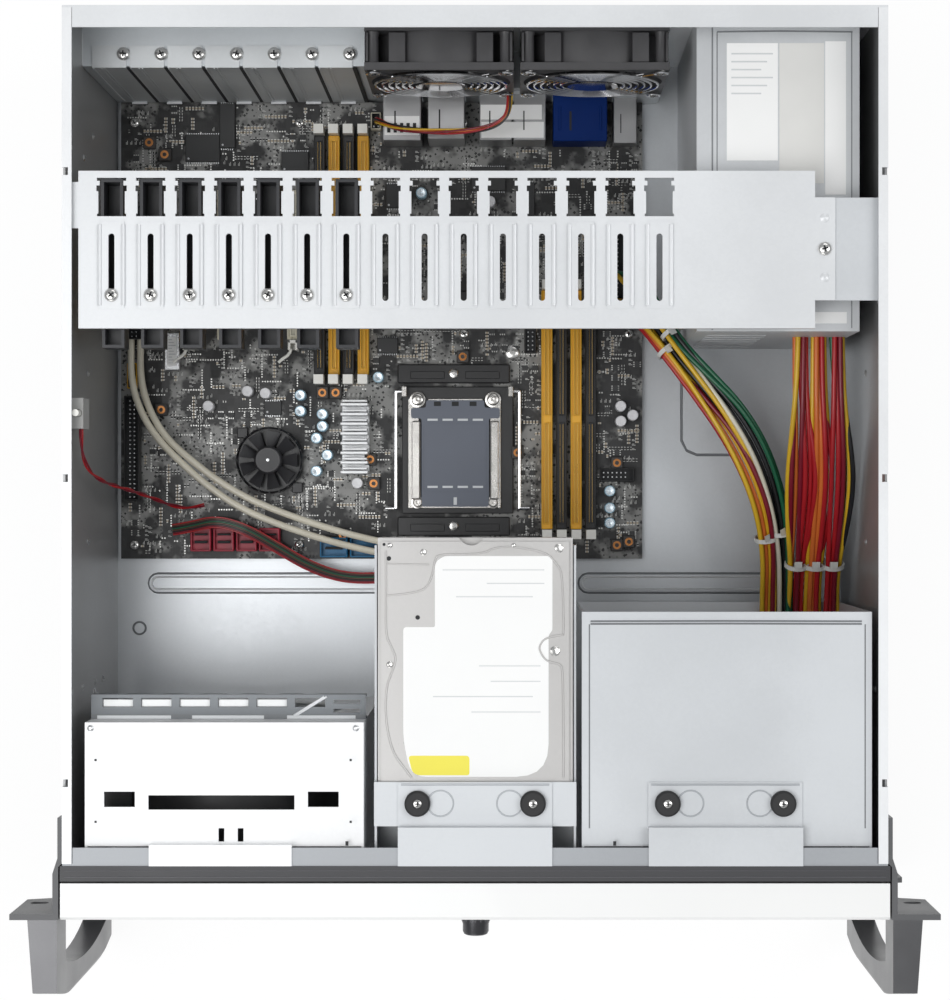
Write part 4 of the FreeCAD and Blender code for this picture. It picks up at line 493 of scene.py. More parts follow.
def repeat(name, stamp, spots, finishes, body="chassis", replaces=()):
    """Copies of one small mesh on many spots (place, turn, stretch), laid out by a node tree."""
    stamp_mesh = bpy.data.meshes.new(name + "_stamp")
    bmesh.ops.recalc_face_normals(stamp, faces=stamp.faces)
    second = [face.material_index for face in stamp.faces]
    stamp.to_mesh(stamp_mesh)
    stamp.free()
    stamp_mesh.attributes.new("second", "INT", "FACE").data.foreach_set("value", second)
    stamp_thing = bpy.data.objects.new(name + "_stamp", stamp_mesh)
    scene.collection.objects.link(stamp_thing)
    dots = bpy.data.meshes.new(name + "_spots")
    dots.from_pydata([Vector(place) / 1000 for place, turn, stretch in spots], [], [])
    for key, column in (("turn", 1), ("stretch", 2)):
        values = [number for spot in spots for number in spot[column]]
        dots.attributes.new(key, "FLOAT_VECTOR", "POINT").data.foreach_set("vector", values)
    thing = bpy.data.objects.new(name, dots)
    scene.collection.objects.link(thing)
    tree = bpy.data.node_groups.new(name + "_layout", "GeometryNodeTree")
    sockets = {}
    for label, kind in (("Spots", "NodeSocketGeometry"), ("Stamp", "NodeSocketObject"),
                        ("Main Finish", "NodeSocketMaterial"), ("Second Finish", "NodeSocketMaterial")):
        sockets[label] = tree.interface.new_socket(label, in_out="INPUT", socket_type=kind).identifier
    tree.interface.new_socket("Result", in_out="OUTPUT", socket_type="NodeSocketGeometry")
    marks = (("turn", "FLOAT_VECTOR"), ("stretch", "FLOAT_VECTOR"), ("second", "INT"))
    nodes = {key: tree.nodes.new(kind) for key, kind in (
        ("entry", "NodeGroupInput"), ("leave", "NodeGroupOutput"), ("info", "GeometryNodeObjectInfo"),
        ("copies", "GeometryNodeInstanceOnPoints"), ("solid", "GeometryNodeRealizeInstances"),
        ("euler", "FunctionNodeEulerToRotation"), ("main", "GeometryNodeSetMaterial"),
        ("other", "GeometryNodeSetMaterial"),
        *[(key, "GeometryNodeInputNamedAttribute") for key, kind in marks])}
    for key, kind in marks:
        nodes[key].data_type = kind
        nodes[key].inputs["Name"].default_value = key
    for source, output, target, socket in (
            ("entry", "Stamp", "info", "Object"), ("entry", "Spots", "copies", "Points"),
            ("info", "Geometry", "copies", "Instance"), ("turn", "Attribute", "euler", "Euler"),
            ("euler", "Rotation", "copies", "Rotation"), ("stretch", "Attribute", "copies", "Scale"),
            ("copies", "Instances", "solid", "Geometry"), ("solid", "Geometry", "main", "Geometry"),
            ("entry", "Main Finish", "main", "Material"), ("main", "Geometry", "other", "Geometry"),
            ("second", "Attribute", "other", "Selection"),
            ("entry", "Second Finish", "other", "Material"), ("other", "Geometry", "leave", "Result")):
        tree.links.new(nodes[source].outputs[output], nodes[target].inputs[socket])
    modifier = thing.modifiers.new("layout", "NODES")
    modifier.node_group = tree
    for label, value in (("Stamp", stamp_thing), ("Main Finish", finishes[0]),
                         ("Second Finish", finishes[-1])):
        modifier[sockets[label]] = value
    mesh = bpy.data.meshes.new_from_object(thing.evaluated_get(bpy.context.evaluated_depsgraph_get()))
    thing.modifiers.clear()
    thing.data = mesh
    for key, kind in marks:
        if key in mesh.attributes:
            mesh.attributes.remove(mesh.attributes[key])
    bpy.data.objects.remove(stamp_thing)
    settle(thing, body, replaces)


FLAT, UNIT = (0, 0, 0), (1, 1, 1)
bar_high = box_corners("hold_down_bar")[1]
cage_high = box_corners("fan_cage")[1]
wall_high = box_corners("side_walls")[1]
first_card, card_pitch = -188.8, 20.32
pierced = moulded("pierced_dark", (0.02, 0.021, 0.023), 0.7, 0.2)
stamp = bmesh.new()
brick(stamp, (-1.3, -1.3, 0), (1.3, 1.3, 0.12), 0, 0)
holes = [((first_card - 7.3 + card_pitch * k, 210.4, 124.0), FLAT, UNIT) for k in range(7)]
holes += [((-64.4, y, cage_high.z - 0.1), FLAT, (0.45, 0.45, 1)) for y in (-200, -168)]
holes += [((-196.5, y, cage_high.z - 0.1), FLAT, (0.45, 0.45, 1)) for y in (-200, -168)]
holes += [((x, -211.5, 174.8), FLAT, (0.6, 0.9, 1)) for x in (72.4, -66.5)]
repeat("sheet_piercings", stamp, holes, [pierced])

bright = moulded("rivet_metal", (0.6, 0.61, 0.62), 0.28, 0.1, metallic=0.85)
stamp = bmesh.new()
lathe(stamp, (0, 0, 0), [(1.9, 0), (1.9, 0.25), (1.45, 0.75), (0.7, 1.0), (0.7, 0.75), (0, 0.7)], 14)
quarter = math.pi / 2
inner = wall_high.x - 1.2
rivets = [((-inner, y, z), (0, quarter, 0), UNIT) for y, z in (
    (-134.4, 156), (-134.4, 122), (-134.4, 81), (-134.4, 56), (36, 105), (-56, 105), (152, 158),
    (152, 118), (168, 88))]
rivets += [((inner, y, z), (0, -quarter, 0), UNIT)
           for y, z in ((36, 105), (-56, 105), (-134, 140), (-134, 70))]
rivets += [((-inner, y, z), (0, quarter, 0), (1.3, 1.3, 1))
           for y, z in ((-152, 60), (-148, 66), (-143, 74), (-140, 84))]
rivets += [((x, y, 171.6), FLAT, (0.9, 0.9, 0.6)) for x, y in ((-200, -152), (-62, -152))]
repeat("sheet_rivets", stamp, rivets, [bright])

ridges = bmesh.new()
for k in range(15):
    for side in (-1, 1):
        middle = first_card + card_pitch * k + side * 6.1
        wire(ridges, [(middle, y, bar_high.z + 0.1) for y in (67.6, 70, 90, 108, 109.6)], 1.1, 8)
make_piece("bar_ridges", ridges, [pale_zinc])

covers_low, covers_high = box_corners("slot_covers")
top = covers_high.z
# A pale strip across each cover's foot is a painted highlight.
build = bmesh.new()
for k in range(7):
    bricks(build, (first_card - 8.9 + card_pitch * k, covers_low.y, 0),
           ((-9.3, -0.5, 12), (-8.7, 0, top - 1.5), 0, 0.1),
           ((-4.85, -0.35, 14), (-4.35, 0, top - 2), 0, 0),
           ((-3.15, -0.35, 14), (-2.65, 0, top - 2), 0, 0),
           ((8.9, -0.15, 10), (11.3, 0.2, top - 1), 1, 0),
           ((-5, -1.6, 12.2), (4, 0, 12.8), 2, 0.2), ((-5, -1.5, 9.4), (4, 0, 12), 1, 0))
make_piece("cover_pressings", build, [cover_zinc, pierced, pale_zinc])
build = bmesh.new()
for y in (113.1, 82.1):
    lathe(build, (181.5, y, bar_high.z - 1.1), [(2.7, 0), (2.6, 0.5), (1.7, 1.1), (0, 1.3)], 18)
for x in range(0, 24, 5):
    lathe(build, (168 - 0.2 * x, 86 + x, bar_high.z - 1.0), [(0.8, 0), (0.7, 0.25), (0, 0.3)], 10)
make_piece("bar_dimples", build, [pale_zinc])


# Screws.  Nickel-plated pan heads with a cross recess hold the slot covers, the bar, the
# board, the ears and the fans; each is one turned head with its cross pressed in.
nickel = moulded("nickel_plate", (0.72, 0.71, 0.69), 0.22, 0.08, 1800, 0.00001, 0.95)
stamp = bmesh.new()
lathe(stamp, (0, 0, -0.4), [(3.0, 0), (3.6, 0.5), (3.6, 1.2), (3.1, 2.0), (2.0, 2.5), (0, 2.75)], 20)
for wide, deep in ((1.7, 0.42), (0.42, 1.7)):
    brick(stamp, (-wide, -deep, 1.7), (wide, deep, 2.42), 1, 0)
spots = [((first_card - 1.4 + card_pitch * k, 207.0, 124.9), (0, 0, 0.4 * k), UNIT) for k in range(7)]
spots += [((first_card + card_pitch * k, 73.0, 174.1), (0, 0, 0.7 + 0.5 * k), UNIT) for k in range(7)]
spots.append(((181.5, 97.1, 173.5), (0, 0, 0.3), UNIT))
for side in (-1, 1):
    spots += [((side * 216.4, -205.0, z), (0, side * quarter, 0), UNIT) for z in (45, 130)]
board_low, board_high = box_corners("motherboard")
for i in range(4):
    spots += [((board_low.x + 8 + 289 * i / 3, board_low.y + 8 + 247 * j / 2, board_high.z),
               (0, 0, 0.6 * i + j), (0.8, 0.8, 0.8))
              for j in range(3)]
fan_spots = [(-19.9, 95.0), (63.6, 95.0)]
fan_hole = 35.6
fan_holes = [(x + dx, z + dz) for x, z in fan_spots
             for dx in (-fan_hole, fan_hole) for dz in (-fan_hole, fan_hole)]
spots += [((x, 196.6, z), (quarter, 0, 0.5), (0.8, 0.8, 0.8)) for x, z in fan_holes]
repeat("case_screws", stamp, spots, [nickel, pierced], replaces=("pan_screws",))


# Floor beads.  Long stiffening beads pressed up out of the floor.  A rolled line of dark zinc round each is
# painted shadow at the bead's foot, and a pale line along its crest is a painted highlight.
# Dark zinc for thin lines of painted shadow: round the floor beads, on the floor, on the card guide and on
# the drive cage's roof.
shadow_line_zinc = zinc("painted_shadow_line", (0.2, 0.21, 0.22), 0.45, 0.5)
bead_row = -82
build = bmesh.new()
for left, right in ((-189, -62), (64, 186)):
    for reach, lift, finish in ((5.4, 1.25, 0), (3.6, 2.85, 1)):
        bends = (0.5, 1.05, 1.57, 2.1, 2.65)
        loop = [(left, bead_row - reach), (right, bead_row - reach)]
        loop += [(right + reach * math.sin(a), bead_row - reach * math.cos(a)) for a in bends]
        loop += [(right, bead_row + reach), (left, bead_row + reach)]
        loop += [(left - reach * math.sin(a), bead_row + reach * math.cos(a)) for a in bends + (3.14,)]
        wire(build, [(x, y, lift) for x, y in loop], (0.9, 0.6)[finish], 6, finish)
make_piece("floor_bead_lines", build, [shadow_line_zinc, pale_zinc])


def ring_wire(build, centre, radius, gauge, axis="Y"):
    """A closed wire ring square to an axis, in millimetres."""
    up, along = (Vector(row) for row in (((0, 0, 1), (0, 1, 0)) if axis == "Y" else ((0, 1, 0), (0, 0, 1))))
    rings = []
    for k in range(40):
        a = 2 * math.pi * k / 40
        out = Vector((math.cos(a), 0, 0)) + up * math.sin(a)
        rings.append(circle(build, (Vector(centre) + out * radius) / 1000, out, along, gauge / 1000, 6))
    skin(build, rings + rings[:1], 0, False)


# Embossed lines on the floor, drawn as thin dark lines of painted shade.
build = bmesh.new()
wire(build, [(x, y, 1.3) for x, y in ((119, 58), (119, 2), (122, -4), (128, -6.6), (150, -6.6))], 0.8)
ring_wire(build, (-200, -108.5, 1.3), 3.6, 0.6, "Z")
make_piece("floor_embossing", build, [shadow_line_zinc])


# Fans.  Moulded black frames with seven twisted blades, four posts between the flanges, and
# chromed wire guards of welded rings on crossed wires with a polished disc in the middle.
fan_black = moulded("fan_plastic", (0.062, 0.061, 0.064), 0.44, 0.2, 700, 0.00003, cloud_scale=80)
blade_black = moulded("blade_plastic", (0.016, 0.016, 0.018), 0.3, 0.15, 500, 0.00002)
chrome = moulded("chrome_wire", (0.86, 0.86, 0.87), 0.12, 0.06, 900, 0.00001, 1.0)
coat(fan_black, "rear_fan_frames", "front_fan_frame")
coat(blade_black, "rear_rotor_left", "rear_rotor_right", "front_rotor", "supply_rotor")
build = bmesh.new()
for x, z in fan_holes:
    lathe(build, (x, 200.6, z), [(3.6, 0), (3.0, 2), (3.0, 15), (3.6, 17)], 16, 0,
          Matrix.Rotation(-quarter, 3, "X"))
for x, z in fan_spots:
    for dx in (-27, 20):
        brick(build, (x + dx, 201.2, z + 37.2), (x + dx + 9, 217.2, z + 38.6), 0, 0.3)
    for dx in (-38.6, 38.6):
        brick(build, (x + dx - 0.7, 201.4, z + 27), (x + dx + 0.7, 217, z + 39.4), 0, 0.2)
make_piece("fan_posts", build, [fan_black])
build = bmesh.new()
for (x, z), plane, reach, radii, disc in (
        (fan_spots[0], 195.2, fan_hole, (17.5, 21.2, 24.9, 28.6, 32.3, 36), 14),
        (fan_spots[1], 195.2, fan_hole, (17.5, 21.2, 24.9, 28.6, 32.3, 36), 14),
        ((160.0, 100.0), 219.4, 25.6, (10, 15, 20, 25, 30, 35), 6.5)):
    for radius in radii:
        ring_wire(build, (x, plane, z), radius, 0.75)
    for sx, sz in ((-1, -1), (1, -1)):
        ends = [Vector((x - sx * reach, plane + 0.9, z - sz * reach)),
                Vector((x + sx * reach, plane + 0.9, z + sz * reach))]
        wire(build, [ends[0].lerp(ends[1], share) for share in (0, 0.25, 0.5, 0.75, 1)], 0.8)
    for sx in (-1, 1):
        for sz in (-1, 1):
            ring_wire(build, (x + sx * reach, plane + 0.5, z + sz * reach), 3.4, 0.75)
    side = -1 if plane < 200 else 1
    lathe(build, (x, plane + 0.4 * side, z), [(disc, 0), (disc, 0.5), (disc * 0.6, 0.9), (0, 1.0)], 28, 0,
          Matrix.Rotation(-quarter * side, 3, "X"))
make_piece("wire_guards", build, [chrome], "chassis", ("fan_guards",))


# Card retainers.  Seven hollow nylon fingers, moulded black, clipped up into the bar so that
# each presses the top edge of a card.
coat(moulded("retainer_nylon", (0.026, 0.027, 0.031), 0.42, 0.2, 500, 0.00003, cloud_scale=120),
     "card_retainers")


# Bezel, door and lock.  The bezel is a matt black moulding with fine lines along its top; the
# door is a smooth off-white moulding hinged at its foot, held by a turned lock with a slotted head.
bezel_black = moulded("bezel_plastic", (0.045, 0.045, 0.049), 0.48, 0.12, 1500, 0.00003, cloud_scale=20)
coat(bezel_black, "bezel", "bay_covers", "intake_grille")
coat(moulded("door_plastic", (0.87, 0.87, 0.86), 0.33, 0.02, 1700, 0.000015, cloud_scale=12,
             Coat_Weight=0.15), "front_door")
coat(moulded("button_grey", (0.3, 0.31, 0.32), 0.35, 0.1), "power_button", "reset_button")
bezel_low, bezel_high = box_corners("bezel")
lock_black = moulded("lock_metal", (0.07, 0.07, 0.075), 0.3, 0.2, 900, 0.00002, 0.7)
lock_height = 150
build = bmesh.new()
lathe(build, (0, -239.0, lock_height), [(6.3, 0), (6.3, 12.3), (7.3, 12.3), (7.3, 17.0), (6.9, 18.2),
                                        (6.9, 22.0), (6.2, 23.4), (5.2, 23.9), (4.9, 23.2), (0, 23.2)],
      32, 0, Matrix.Rotation(quarter, 3, "X"))
brick(build, (-0.7, -262.8, lock_height - 3.8), (0.7, -262.1, lock_height + 3.8), 1, 0)
brick(build, (-2.5, -241, lock_height), (2.5, -239, lock_height + 17), 0, 0.2)
for k in range(16):
    a = 2 * math.pi * k / 16
    x, z = 7.15 * math.cos(a), lock_height + 7.15 * math.sin(a)
    brick(build, (x - 0.4, -255.6, z - 0.4), (x + 0.4, -251.8, z + 0.4), 0, 0.1)
make_piece("lock_barrel", build, [lock_black, pierced], "door_lock", ("door_lock",))
build = bmesh.new()
for y, z, gauge in ((bezel_low.y + 2.3, bezel_high.z + 0.05, 0.25),
                    (bezel_low.y + 5.6, bezel_high.z + 0.05, 0.2)):
    wire(build, [(x, y, z) for x in (-213, -100, 0, 100, 213)], gauge)
make_piece("bezel_lines", build, [moulded("bezel_edge", (0.1, 0.1, 0.11), 0.4, 0.2)])


# Ears and handles.  Folded steel ears, powder coated dark grey, and moulded grey loop handles
# screwed on from behind.
coat(moulded("ear_paint", (0.1, 0.101, 0.105), 0.44, 0.12, 2200, 0.00004, cloud_scale=25), "rack_ears")
coat(moulded("handle_plastic", (0.13, 0.13, 0.135), 0.34, 0.12, 1200, 0.00003, 0.7, 25), "handles")


# Hard drive.  A cast base under a pressed lid of brushed steel with a rolled groove round its
# edge; a plain white field covers most of the lid, with a yellow one at its corner.
lid_steel = zinc("drive_lid_steel", (0.52, 0.51, 0.5), 0.33, 0.25, 14.0, 0.04)
coat(lid_steel, "hard_drive")


def plate(build, outline, low, high, index=0):
    """A flat plate with the given outline between two heights, in millimetres."""
    skin(build, [[build.verts.new(Vector((x, y, z)) / 1000) for x, y in outline] for z in (low, high)],
         index)


def rounded(corners, radii, steps=5):
    """The outline through corners, each rounded by its own radius."""
    outline = []
    count = len(corners)
    for k, (corner, radius) in enumerate(zip(corners, radii)):
        spot = Vector(corner)
        before = (Vector(corners[k - 1]) - spot).normalized()
        after = (Vector(corners[(k + 1) % count]) - spot).normalized()
        for j in range(steps + 1):
            share = j / steps
            start, end = spot + before * radius, spot + after * radius
            outline.append(tuple(start.lerp(spot, share).lerp(spot.lerp(end, share), share)))
    return outline


paper = moulded("label_paper", (0.9, 0.9, 0.89), 0.55, 0.03, 800, 0.00001, cloud_scale=30)
yellow_paper = moulded("label_yellow", (0.86, 0.77, 0.09), 0.55, 0.05, 800, 0.00001, cloud_scale=30)
print_grey = moulded("label_rule", (0.62, 0.63, 0.64), 0.6, 0.05)
lid = box_corners("hard_drive")[1].z
build = bmesh.new()
left, right, near, far = -37.5, 38.2, -177.5, -62.5
plate(build, rounded([(left + 4, near), (right, near), (right, -104), (right + 2, -101),
                      (right + 2, far), (-16, far), (-21, far - 3), (-21, -99.5), (left, -99.5),
                      (left, near + 19)], [8, 17, 1, 1, 2, 2, 3, 1, 2, 7]),
      lid - 0.1, lid + 0.14)
plate(build, rounded([(left + 5, near + 0.8), (-3, near + 0.8), (-3, near + 11), (left + 2.6, near + 11)],
                     [4, 1.5, 2, 2]),
      lid, lid + 0.2, 1)
for y, start, end in ((-70, -17, 36), (-77, 6, 36), (-84, -10, 30), (-120, 2, 34), (-128, 8, 34),
                      (-136, -22, 30), (-144, -2, 34)):
    brick(build, (start, y, lid), (end, y + 0.5, lid + 0.17), 2, 0)
make_piece("drive_fields", build, [paper, yellow_paper, print_grey])
build = bmesh.new()
groove = [(-46.5, -60), (-46.5, -90), (-46.5, -104), (-43.5, -110), (-41, -116), (-43, -122), (-46.8, -132),
          (-46.5, -150), (-43, -165), (-36, -174), (-33, -178)]
rim = [(46, -178), (46, -122), (44, -118.5), (37, -117.5), (33.5, -112), (33.5, -109),
       (37, -104.5), (46, -103.5)]
boss = [(46, -103), (46, -72), (42, -66), (37, -60.5), (20, -57.5), (10, -58), (4, -61.5), (-19, -61.5),
        (-21, -64), (-23, -76), (-29, -82), (-46, -83)]
for route, radius in ((groove, 0.55), (rim, 0.55), (boss, 0.5), ([(-46, -66.5), (-24, -67)], 0.4)):
    line = line_through([(x, y, lid + 0.1) for x, y in route])
    sweep(build, frames_along(line), radius / 1000, 6)
make_piece("drive_lid_beads", build, [lid_steel])
build = bmesh.new()
for x, y, size in ((41.5, -112, 2.6), (-44.5, -119, 1.7), (-27, -60.5, 1.7), (43.5, -58.5, 2.4),
                   (-44.5, -57, 1.4), (20, -57, 1.2)):
    lathe(build, (x, y, lid - 0.3),
          [(size, 0), (size, 0.7), (size * 0.75, 1.0), (size * 0.4, 0.8), (0, 0.75)], 18)
for x, y, size in ((-45, -63.8, 1.2), (-30, -94.5, 1.2), (-47.5, -56.5, 0.8)):
    lathe(build, (x, y, lid), [(size, 0), (size, 0.15), (0, 0.15)], 14, 1)
make_piece("drive_lid_screws", build, [nickel, pierced])


# Isolators.  Rubber grommets carry the drive tray and the bay cage from bent brackets; a
# shouldered screw runs through each, beside a shallow pressed ring.
coat(moulded("grommet_rubber", (0.018, 0.018, 0.019), 0.62, 0.25, 900, 0.00005), "rubber_grommets")
grommet_high = box_corners("rubber_grommets")[1]
grommet_row = -191
build = bmesh.new()
for x in (-30, 30, 100, 160):
    lathe(build, (x, grommet_row, grommet_high.z - 5.5),
          [(1.3, 0), (1.3, 4.2), (2.4, 4.2), (2.4, 4.9), (1.6, 5.4), (0, 5.4)], 16, 0)
    for wide, deep in ((1.3, 0.3), (0.3, 1.3)):
        brick(build, (x - wide, grommet_row - deep, grommet_high.z - 0.4),
              (x + wide, grommet_row + deep, grommet_high.z + 0.02), 1, 0)
make_piece("isolator_screws", build, [nickel, pierced])
# The pressed rings, lines and bosses on the brackets are drawn in darker zinc: painted shade of the
# pressings.
build = bmesh.new()
for x in (-18, 18, 112, 148):
    ring_wire(build, (x, grommet_row, 172.55), 6.7, 0.45, "Z")
for x0, x1 in ((-40, 40), (90, 170)):
    for y, height in ((-203.6, 172.4), (-181.2, 172.5)):
        wire(build, [(x, y, height) for x in (x0 + 1.5, x0 + 20, x1 - 20, x1 - 1.5)], 0.6)
    for x in (x0 + 11, x1 - 11):
        lathe(build, (x, -218.4, 176.4), [(2.2, 0), (2.2, 0.25), (1.5, 0.5), (0.8, 0.4), (0, 0.35)], 16, 0)
make_piece("bracket_pressings", build, [zinc("bracket_shadow_line", (0.42, 0.44, 0.46), 0.4, 0.5)])


# Cage seams.  The card guide and the drive cage are folded from zinc-coated sheet, with hemmed edges, bent
# flaps in the guide's windows and fold lines on the drive cage's roof.  Pale strips along the guide's hemmed
# edge are painted highlight beside a dark strip of painted shadow; the near-white flaps are painted light,
# the lit floor seen through the windows; dark lines along the roof's hem and folds are painted shade.
build = bmesh.new()
# Pale strips on the guide's hemmed edge are painted highlight; the dark strip beside them is painted shadow.
for left, right in ((-199.8, -160.8), (-149.7, -111.7), (-99.6, -63.4)):
    brick(build, (left, -148.8, 151.8), (right, -147.0, 152.25), 0, 0.1)
brick(build, (-203, -149.0, 151.9), (-58.4, -146.4, 152.1), 1, 0)
for shift in (0, 1.4):
    wire(build, [(-96 + shift + x, -147 + x * 0.62, 152.2) for x in (0, 6, 12, 16)], 0.6)
# Near-white flaps in the guide's windows: painted light where the lit floor shows through.
for k in range(5):
    x = first_card + card_pitch * k
    brick(build, (x - 8, -142.5, 150.1), (x + 8, -138.7, 150.5), 2, 0.15)
make_piece("guide_seams", build, [pale_zinc, shadow_line_zinc, zinc("guide_window_painted_light", (0.92, 0.93, 0.93), 0.42, 0.1)])
# Dark lines along the drive cage roof's hem and folds: painted shade.
build = bmesh.new()
for drop in (0, 1.4):
    wire(build, [(x, y - drop, 171.55) for x, y in ((60, -96.4), (130, -96.2), (201, -96.4))], 0.5)
for x in (59.4, 202.8):
    wire(build, [(x, y, 171.5) for y in (-98, -140, -176, -204)], 0.4)
make_piece("bay_hem", build, [shadow_line_zinc])


# Power supply.  A folded grey housing with a lid seam, an embossed border and plain fields
# where a rating plate would be; a rocker switch and a moulded mains socket sit in its rear.
supply_low, supply_high = box_corners("power_supply")
housing = zinc("housing_grey", (0.6, 0.615, 0.63), 0.42, 0.2, 16.0, 0.05)
coat(housing, "power_supply")
top = supply_high.z
# Dark zinc lines: a dark joint along the lid seam, and painted shade along the embossed border.
build = bmesh.new()
for points, radius in (
        ([(125, 56.5), (125, 130), (125, 218)], 0.45), ([(127.5, 214), (160, 214.4), (199, 214)], 0.5),
        ([(127.5, 57.5), (127.5, 150), (127.5, 214)], 0.35),
        ([(198.6, 57.5), (198.6, 150), (198.6, 214)], 0.35)):
    wire(build, [(x, y, top - 0.1) for x, y in points], radius)
make_piece("housing_seams", build, [zinc("housing_seam_and_shadow", (0.24, 0.25, 0.26), 0.45, 0.4)])
beige = moulded("field_beige", (0.72, 0.715, 0.69), 0.55, 0.04, 900, 0.00001)
build = bmesh.new()
bricks(build, (0, 0, top),
       ((132.6, 146, 0), (159.6, 208, 0.12), 0, 0), ((160.4, 134, 0), (184, 208, 0.12), 1, 0),
       ((184.6, 128, 0), (195.6, 209, 0.14), 0, 0), ((161, 60, 0), (196, 66, 0.12), 0, 0),
       *[((135, 202 - 4.2 * k, 0), (157 - 3.1 * (k % 3), 202.8 - 4.2 * k, 0.15), 2, 0) for k in range(6)])
make_piece("rating_fields", build, [paper, beige, print_grey])
black_gloss = moulded("switch_plastic", (0.02, 0.02, 0.022), 0.28, 0.15)
coat(black_gloss, "supply_switch")
build = bmesh.new()
bricks(build, (supply_low.x, 0, supply_low.z),
       ((11.9, 205.6, 15.9), (40.1, 222.4, 36.1), 0, 0.5, (1.8, 11.5, 0), (0, 1, 0)),
       *[((x - 0.8, 210.9, z - 2.2), (x + 0.8, 219.4, z + 2.2), 1, 0.2)
         for x, z in ((20, 24), (32, 24), (26, 29))],
       ((50.4, 221.6, 14), (52.1, 222.7, 38)), ((65.9, 221.6, 14), (67.6, 222.7, 38)),
       ((52.1, 221.6, 36.1), (65.9, 222.7, 38)), ((52.1, 221.6, 14), (65.9, 222.7, 15.9)))
make_piece("mains_socket", build, [black_gloss, bright])


# Rear ports.  Five stamped and tinned shells and a blue moulded video socket stand on the
# board's rear edge, soldered to it, and open to the rear.
shell = moulded("tinned_shell", (0.4, 0.4, 0.405), 0.34, 0.12, 900, 0.00002, 0.8)
video_blue = moulded("video_blue", (0.0, 0.022, 0.15), 0.5, 0.15, 900, Specular_IOR_Level=0.15)
port_low, port_high = box_corners("rear_ports")
build = bmesh.new()
for left, width, height, index, wall in ((-55, 22, 26, 0, 2), (-29, 21, 31, 0, 1.2), (0.5, 18.7, 26, 0, 1.6),
                                         (20.2, 18.4, 26, 0, 1.6), (43, 31, 24, 1, 3),
                                         (78, 13.5, 14, 0, 1.4)):
    bricks(build, (left, port_low.y, port_low.z),
           ((0, 0, 0), (width, port_high.y - port_low.y, height), index, 0.4, (wall, 12, 2), (0, 1, 0)),
           ((width * 0.3, 6, height - 0.05), (width * 0.34, 17, height + 0.2), 2, 0))
bricks(build, (0, port_low.y, port_low.z),
       ((1.6, 1.5, 26), (37.5, 10.6, 26.15), 3, 0), ((1.2, 12, 26), (36.4, 20.5, 26.15), 3, 0),
       ((-54, 3, 26), (-34, 14, 26.15), 3, 0),
       *[((-52.5 + 3.7 * k, 4.5, 26.1), (-50.6 + 3.7 * k, 10, 26.22), 2, 0) for k in range(5)],
       ((46, 6, 23.8), (47.6, 20, 24.5), 1), ((69.4, 6, 23.8), (71, 20, 24.5), 1))
for k in range(3):
    for j in range(5):
        lathe(build, (50 + 4.3 * j, port_high.y - 9, port_low.z + 7 + 4.6 * k),
              [(0.9, 0), (0.9, 1.4), (0, 1.4)], 8, 2, Matrix.Rotation(-quarter, 3, "X"))
make_piece("port_shells", build, [shell, video_blue, pierced, paper], "chassis", ("rear_ports",))


# Main board.  A black lacquered glass-fibre board: copper runs show faintly as darker and
# lighter straight lines under the lacquer, between rows of tinned pads and tiny parts.
material, shader, place = open_finish("board_lacquer")
runs = place.node("ShaderNodeTexVoronoi", {"distance": "CHEBYCHEV", "feature": "F1"},
                  Vector=place, Scale=190.0)
fine = place.node("ShaderNodeTexVoronoi", {"distance": "MANHATTAN", "feature": "F1"},
                  Vector=place, Scale=420.0)
tracks = place.node("ShaderNodeTexWave", {"wave_type": "BANDS", "bands_direction": "X"}, out=1,
                    Vector=place, Scale=330.0)
lanes = place.noise(26, 2).rise(0.5, 0.56)
speck = fine.rise(0.44, 0.5) * place.noise(60, 3).rise(0.46, 0.6)
lacquer = (runs.rise(0.3, 0.5) * 0.6 + lanes * tracks * 0.5).mix((0.012, 0.012, 0.0125),
                                                                 (0.028, 0.028, 0.0285))
feed(shader, Base_Color=speck.mix(lacquer, (0.26, 0.26, 0.25)), Roughness=0.5 - speck * 0.15,
     Coat_Weight=0.12, Normal=(runs + speck).bump(0.00005))
coat(material, "motherboard")


# Sockets and slots.  Memory and card sockets moulded in black, yellow and cream, with gold
# contacts in their grooves and white nylon latches at their ends, all soldered to the board.
socket_yellow = moulded("socket_yellow", (0.8, 0.44, 0.03), 0.34, 0.08, 700)
socket_orange = moulded("socket_groove", (0.42, 0.17, 0.01), 0.45, 0.1)
socket_black = moulded("socket_black", (0.02, 0.02, 0.021), 0.38, 0.2, 700)
cream = moulded("slot_cream", (0.72, 0.68, 0.55), 0.4, 0.06, 700)
latch_white = moulded("latch_nylon", (0.86, 0.85, 0.8), 0.36, 0.04, 900)
gold = moulded("contact_gold", (0.62, 0.4, 0.12), 0.3, 0.15, metallic=0.9)
deck = board_high.z
slot_line = -189
build = bmesh.new()
for first, front, colours in ((-92.9, 39.9, (2, 0, 2, 0)), (39.6, -50.1, (0, 2, 0, 2))):
    for k, colour in enumerate(colours):
        spot = (first + 8.5 * k, front, deck)
        brick(build, (-3.2, 0, 0), (3.2, 139, 8), colour, 0.4, (0.9, 0.8, colour), at=spot)
        for start, end in ((3, 62), (66, 136)):
            bricks(build, spot, ((-1.5, start, 7), (1.5, end, 9), colour, 0.2, (0.75, 3, colour + 1)),
                   ((-1.15, start + 1, 5), (-0.75, end - 1, 8.2), 4, 0),
                   ((0.75, start + 1, 5), (1.15, end - 1, 8.2), 4, 0))
make_piece("memory_bars", build, [socket_yellow, socket_orange, socket_black, pierced, gold], "chassis",
           ("memory_sockets",))
coat(latch_white, "memory_latches_left_front", "memory_latches_left_rear", "memory_latches_right_front",
     "memory_latches_right_rear")
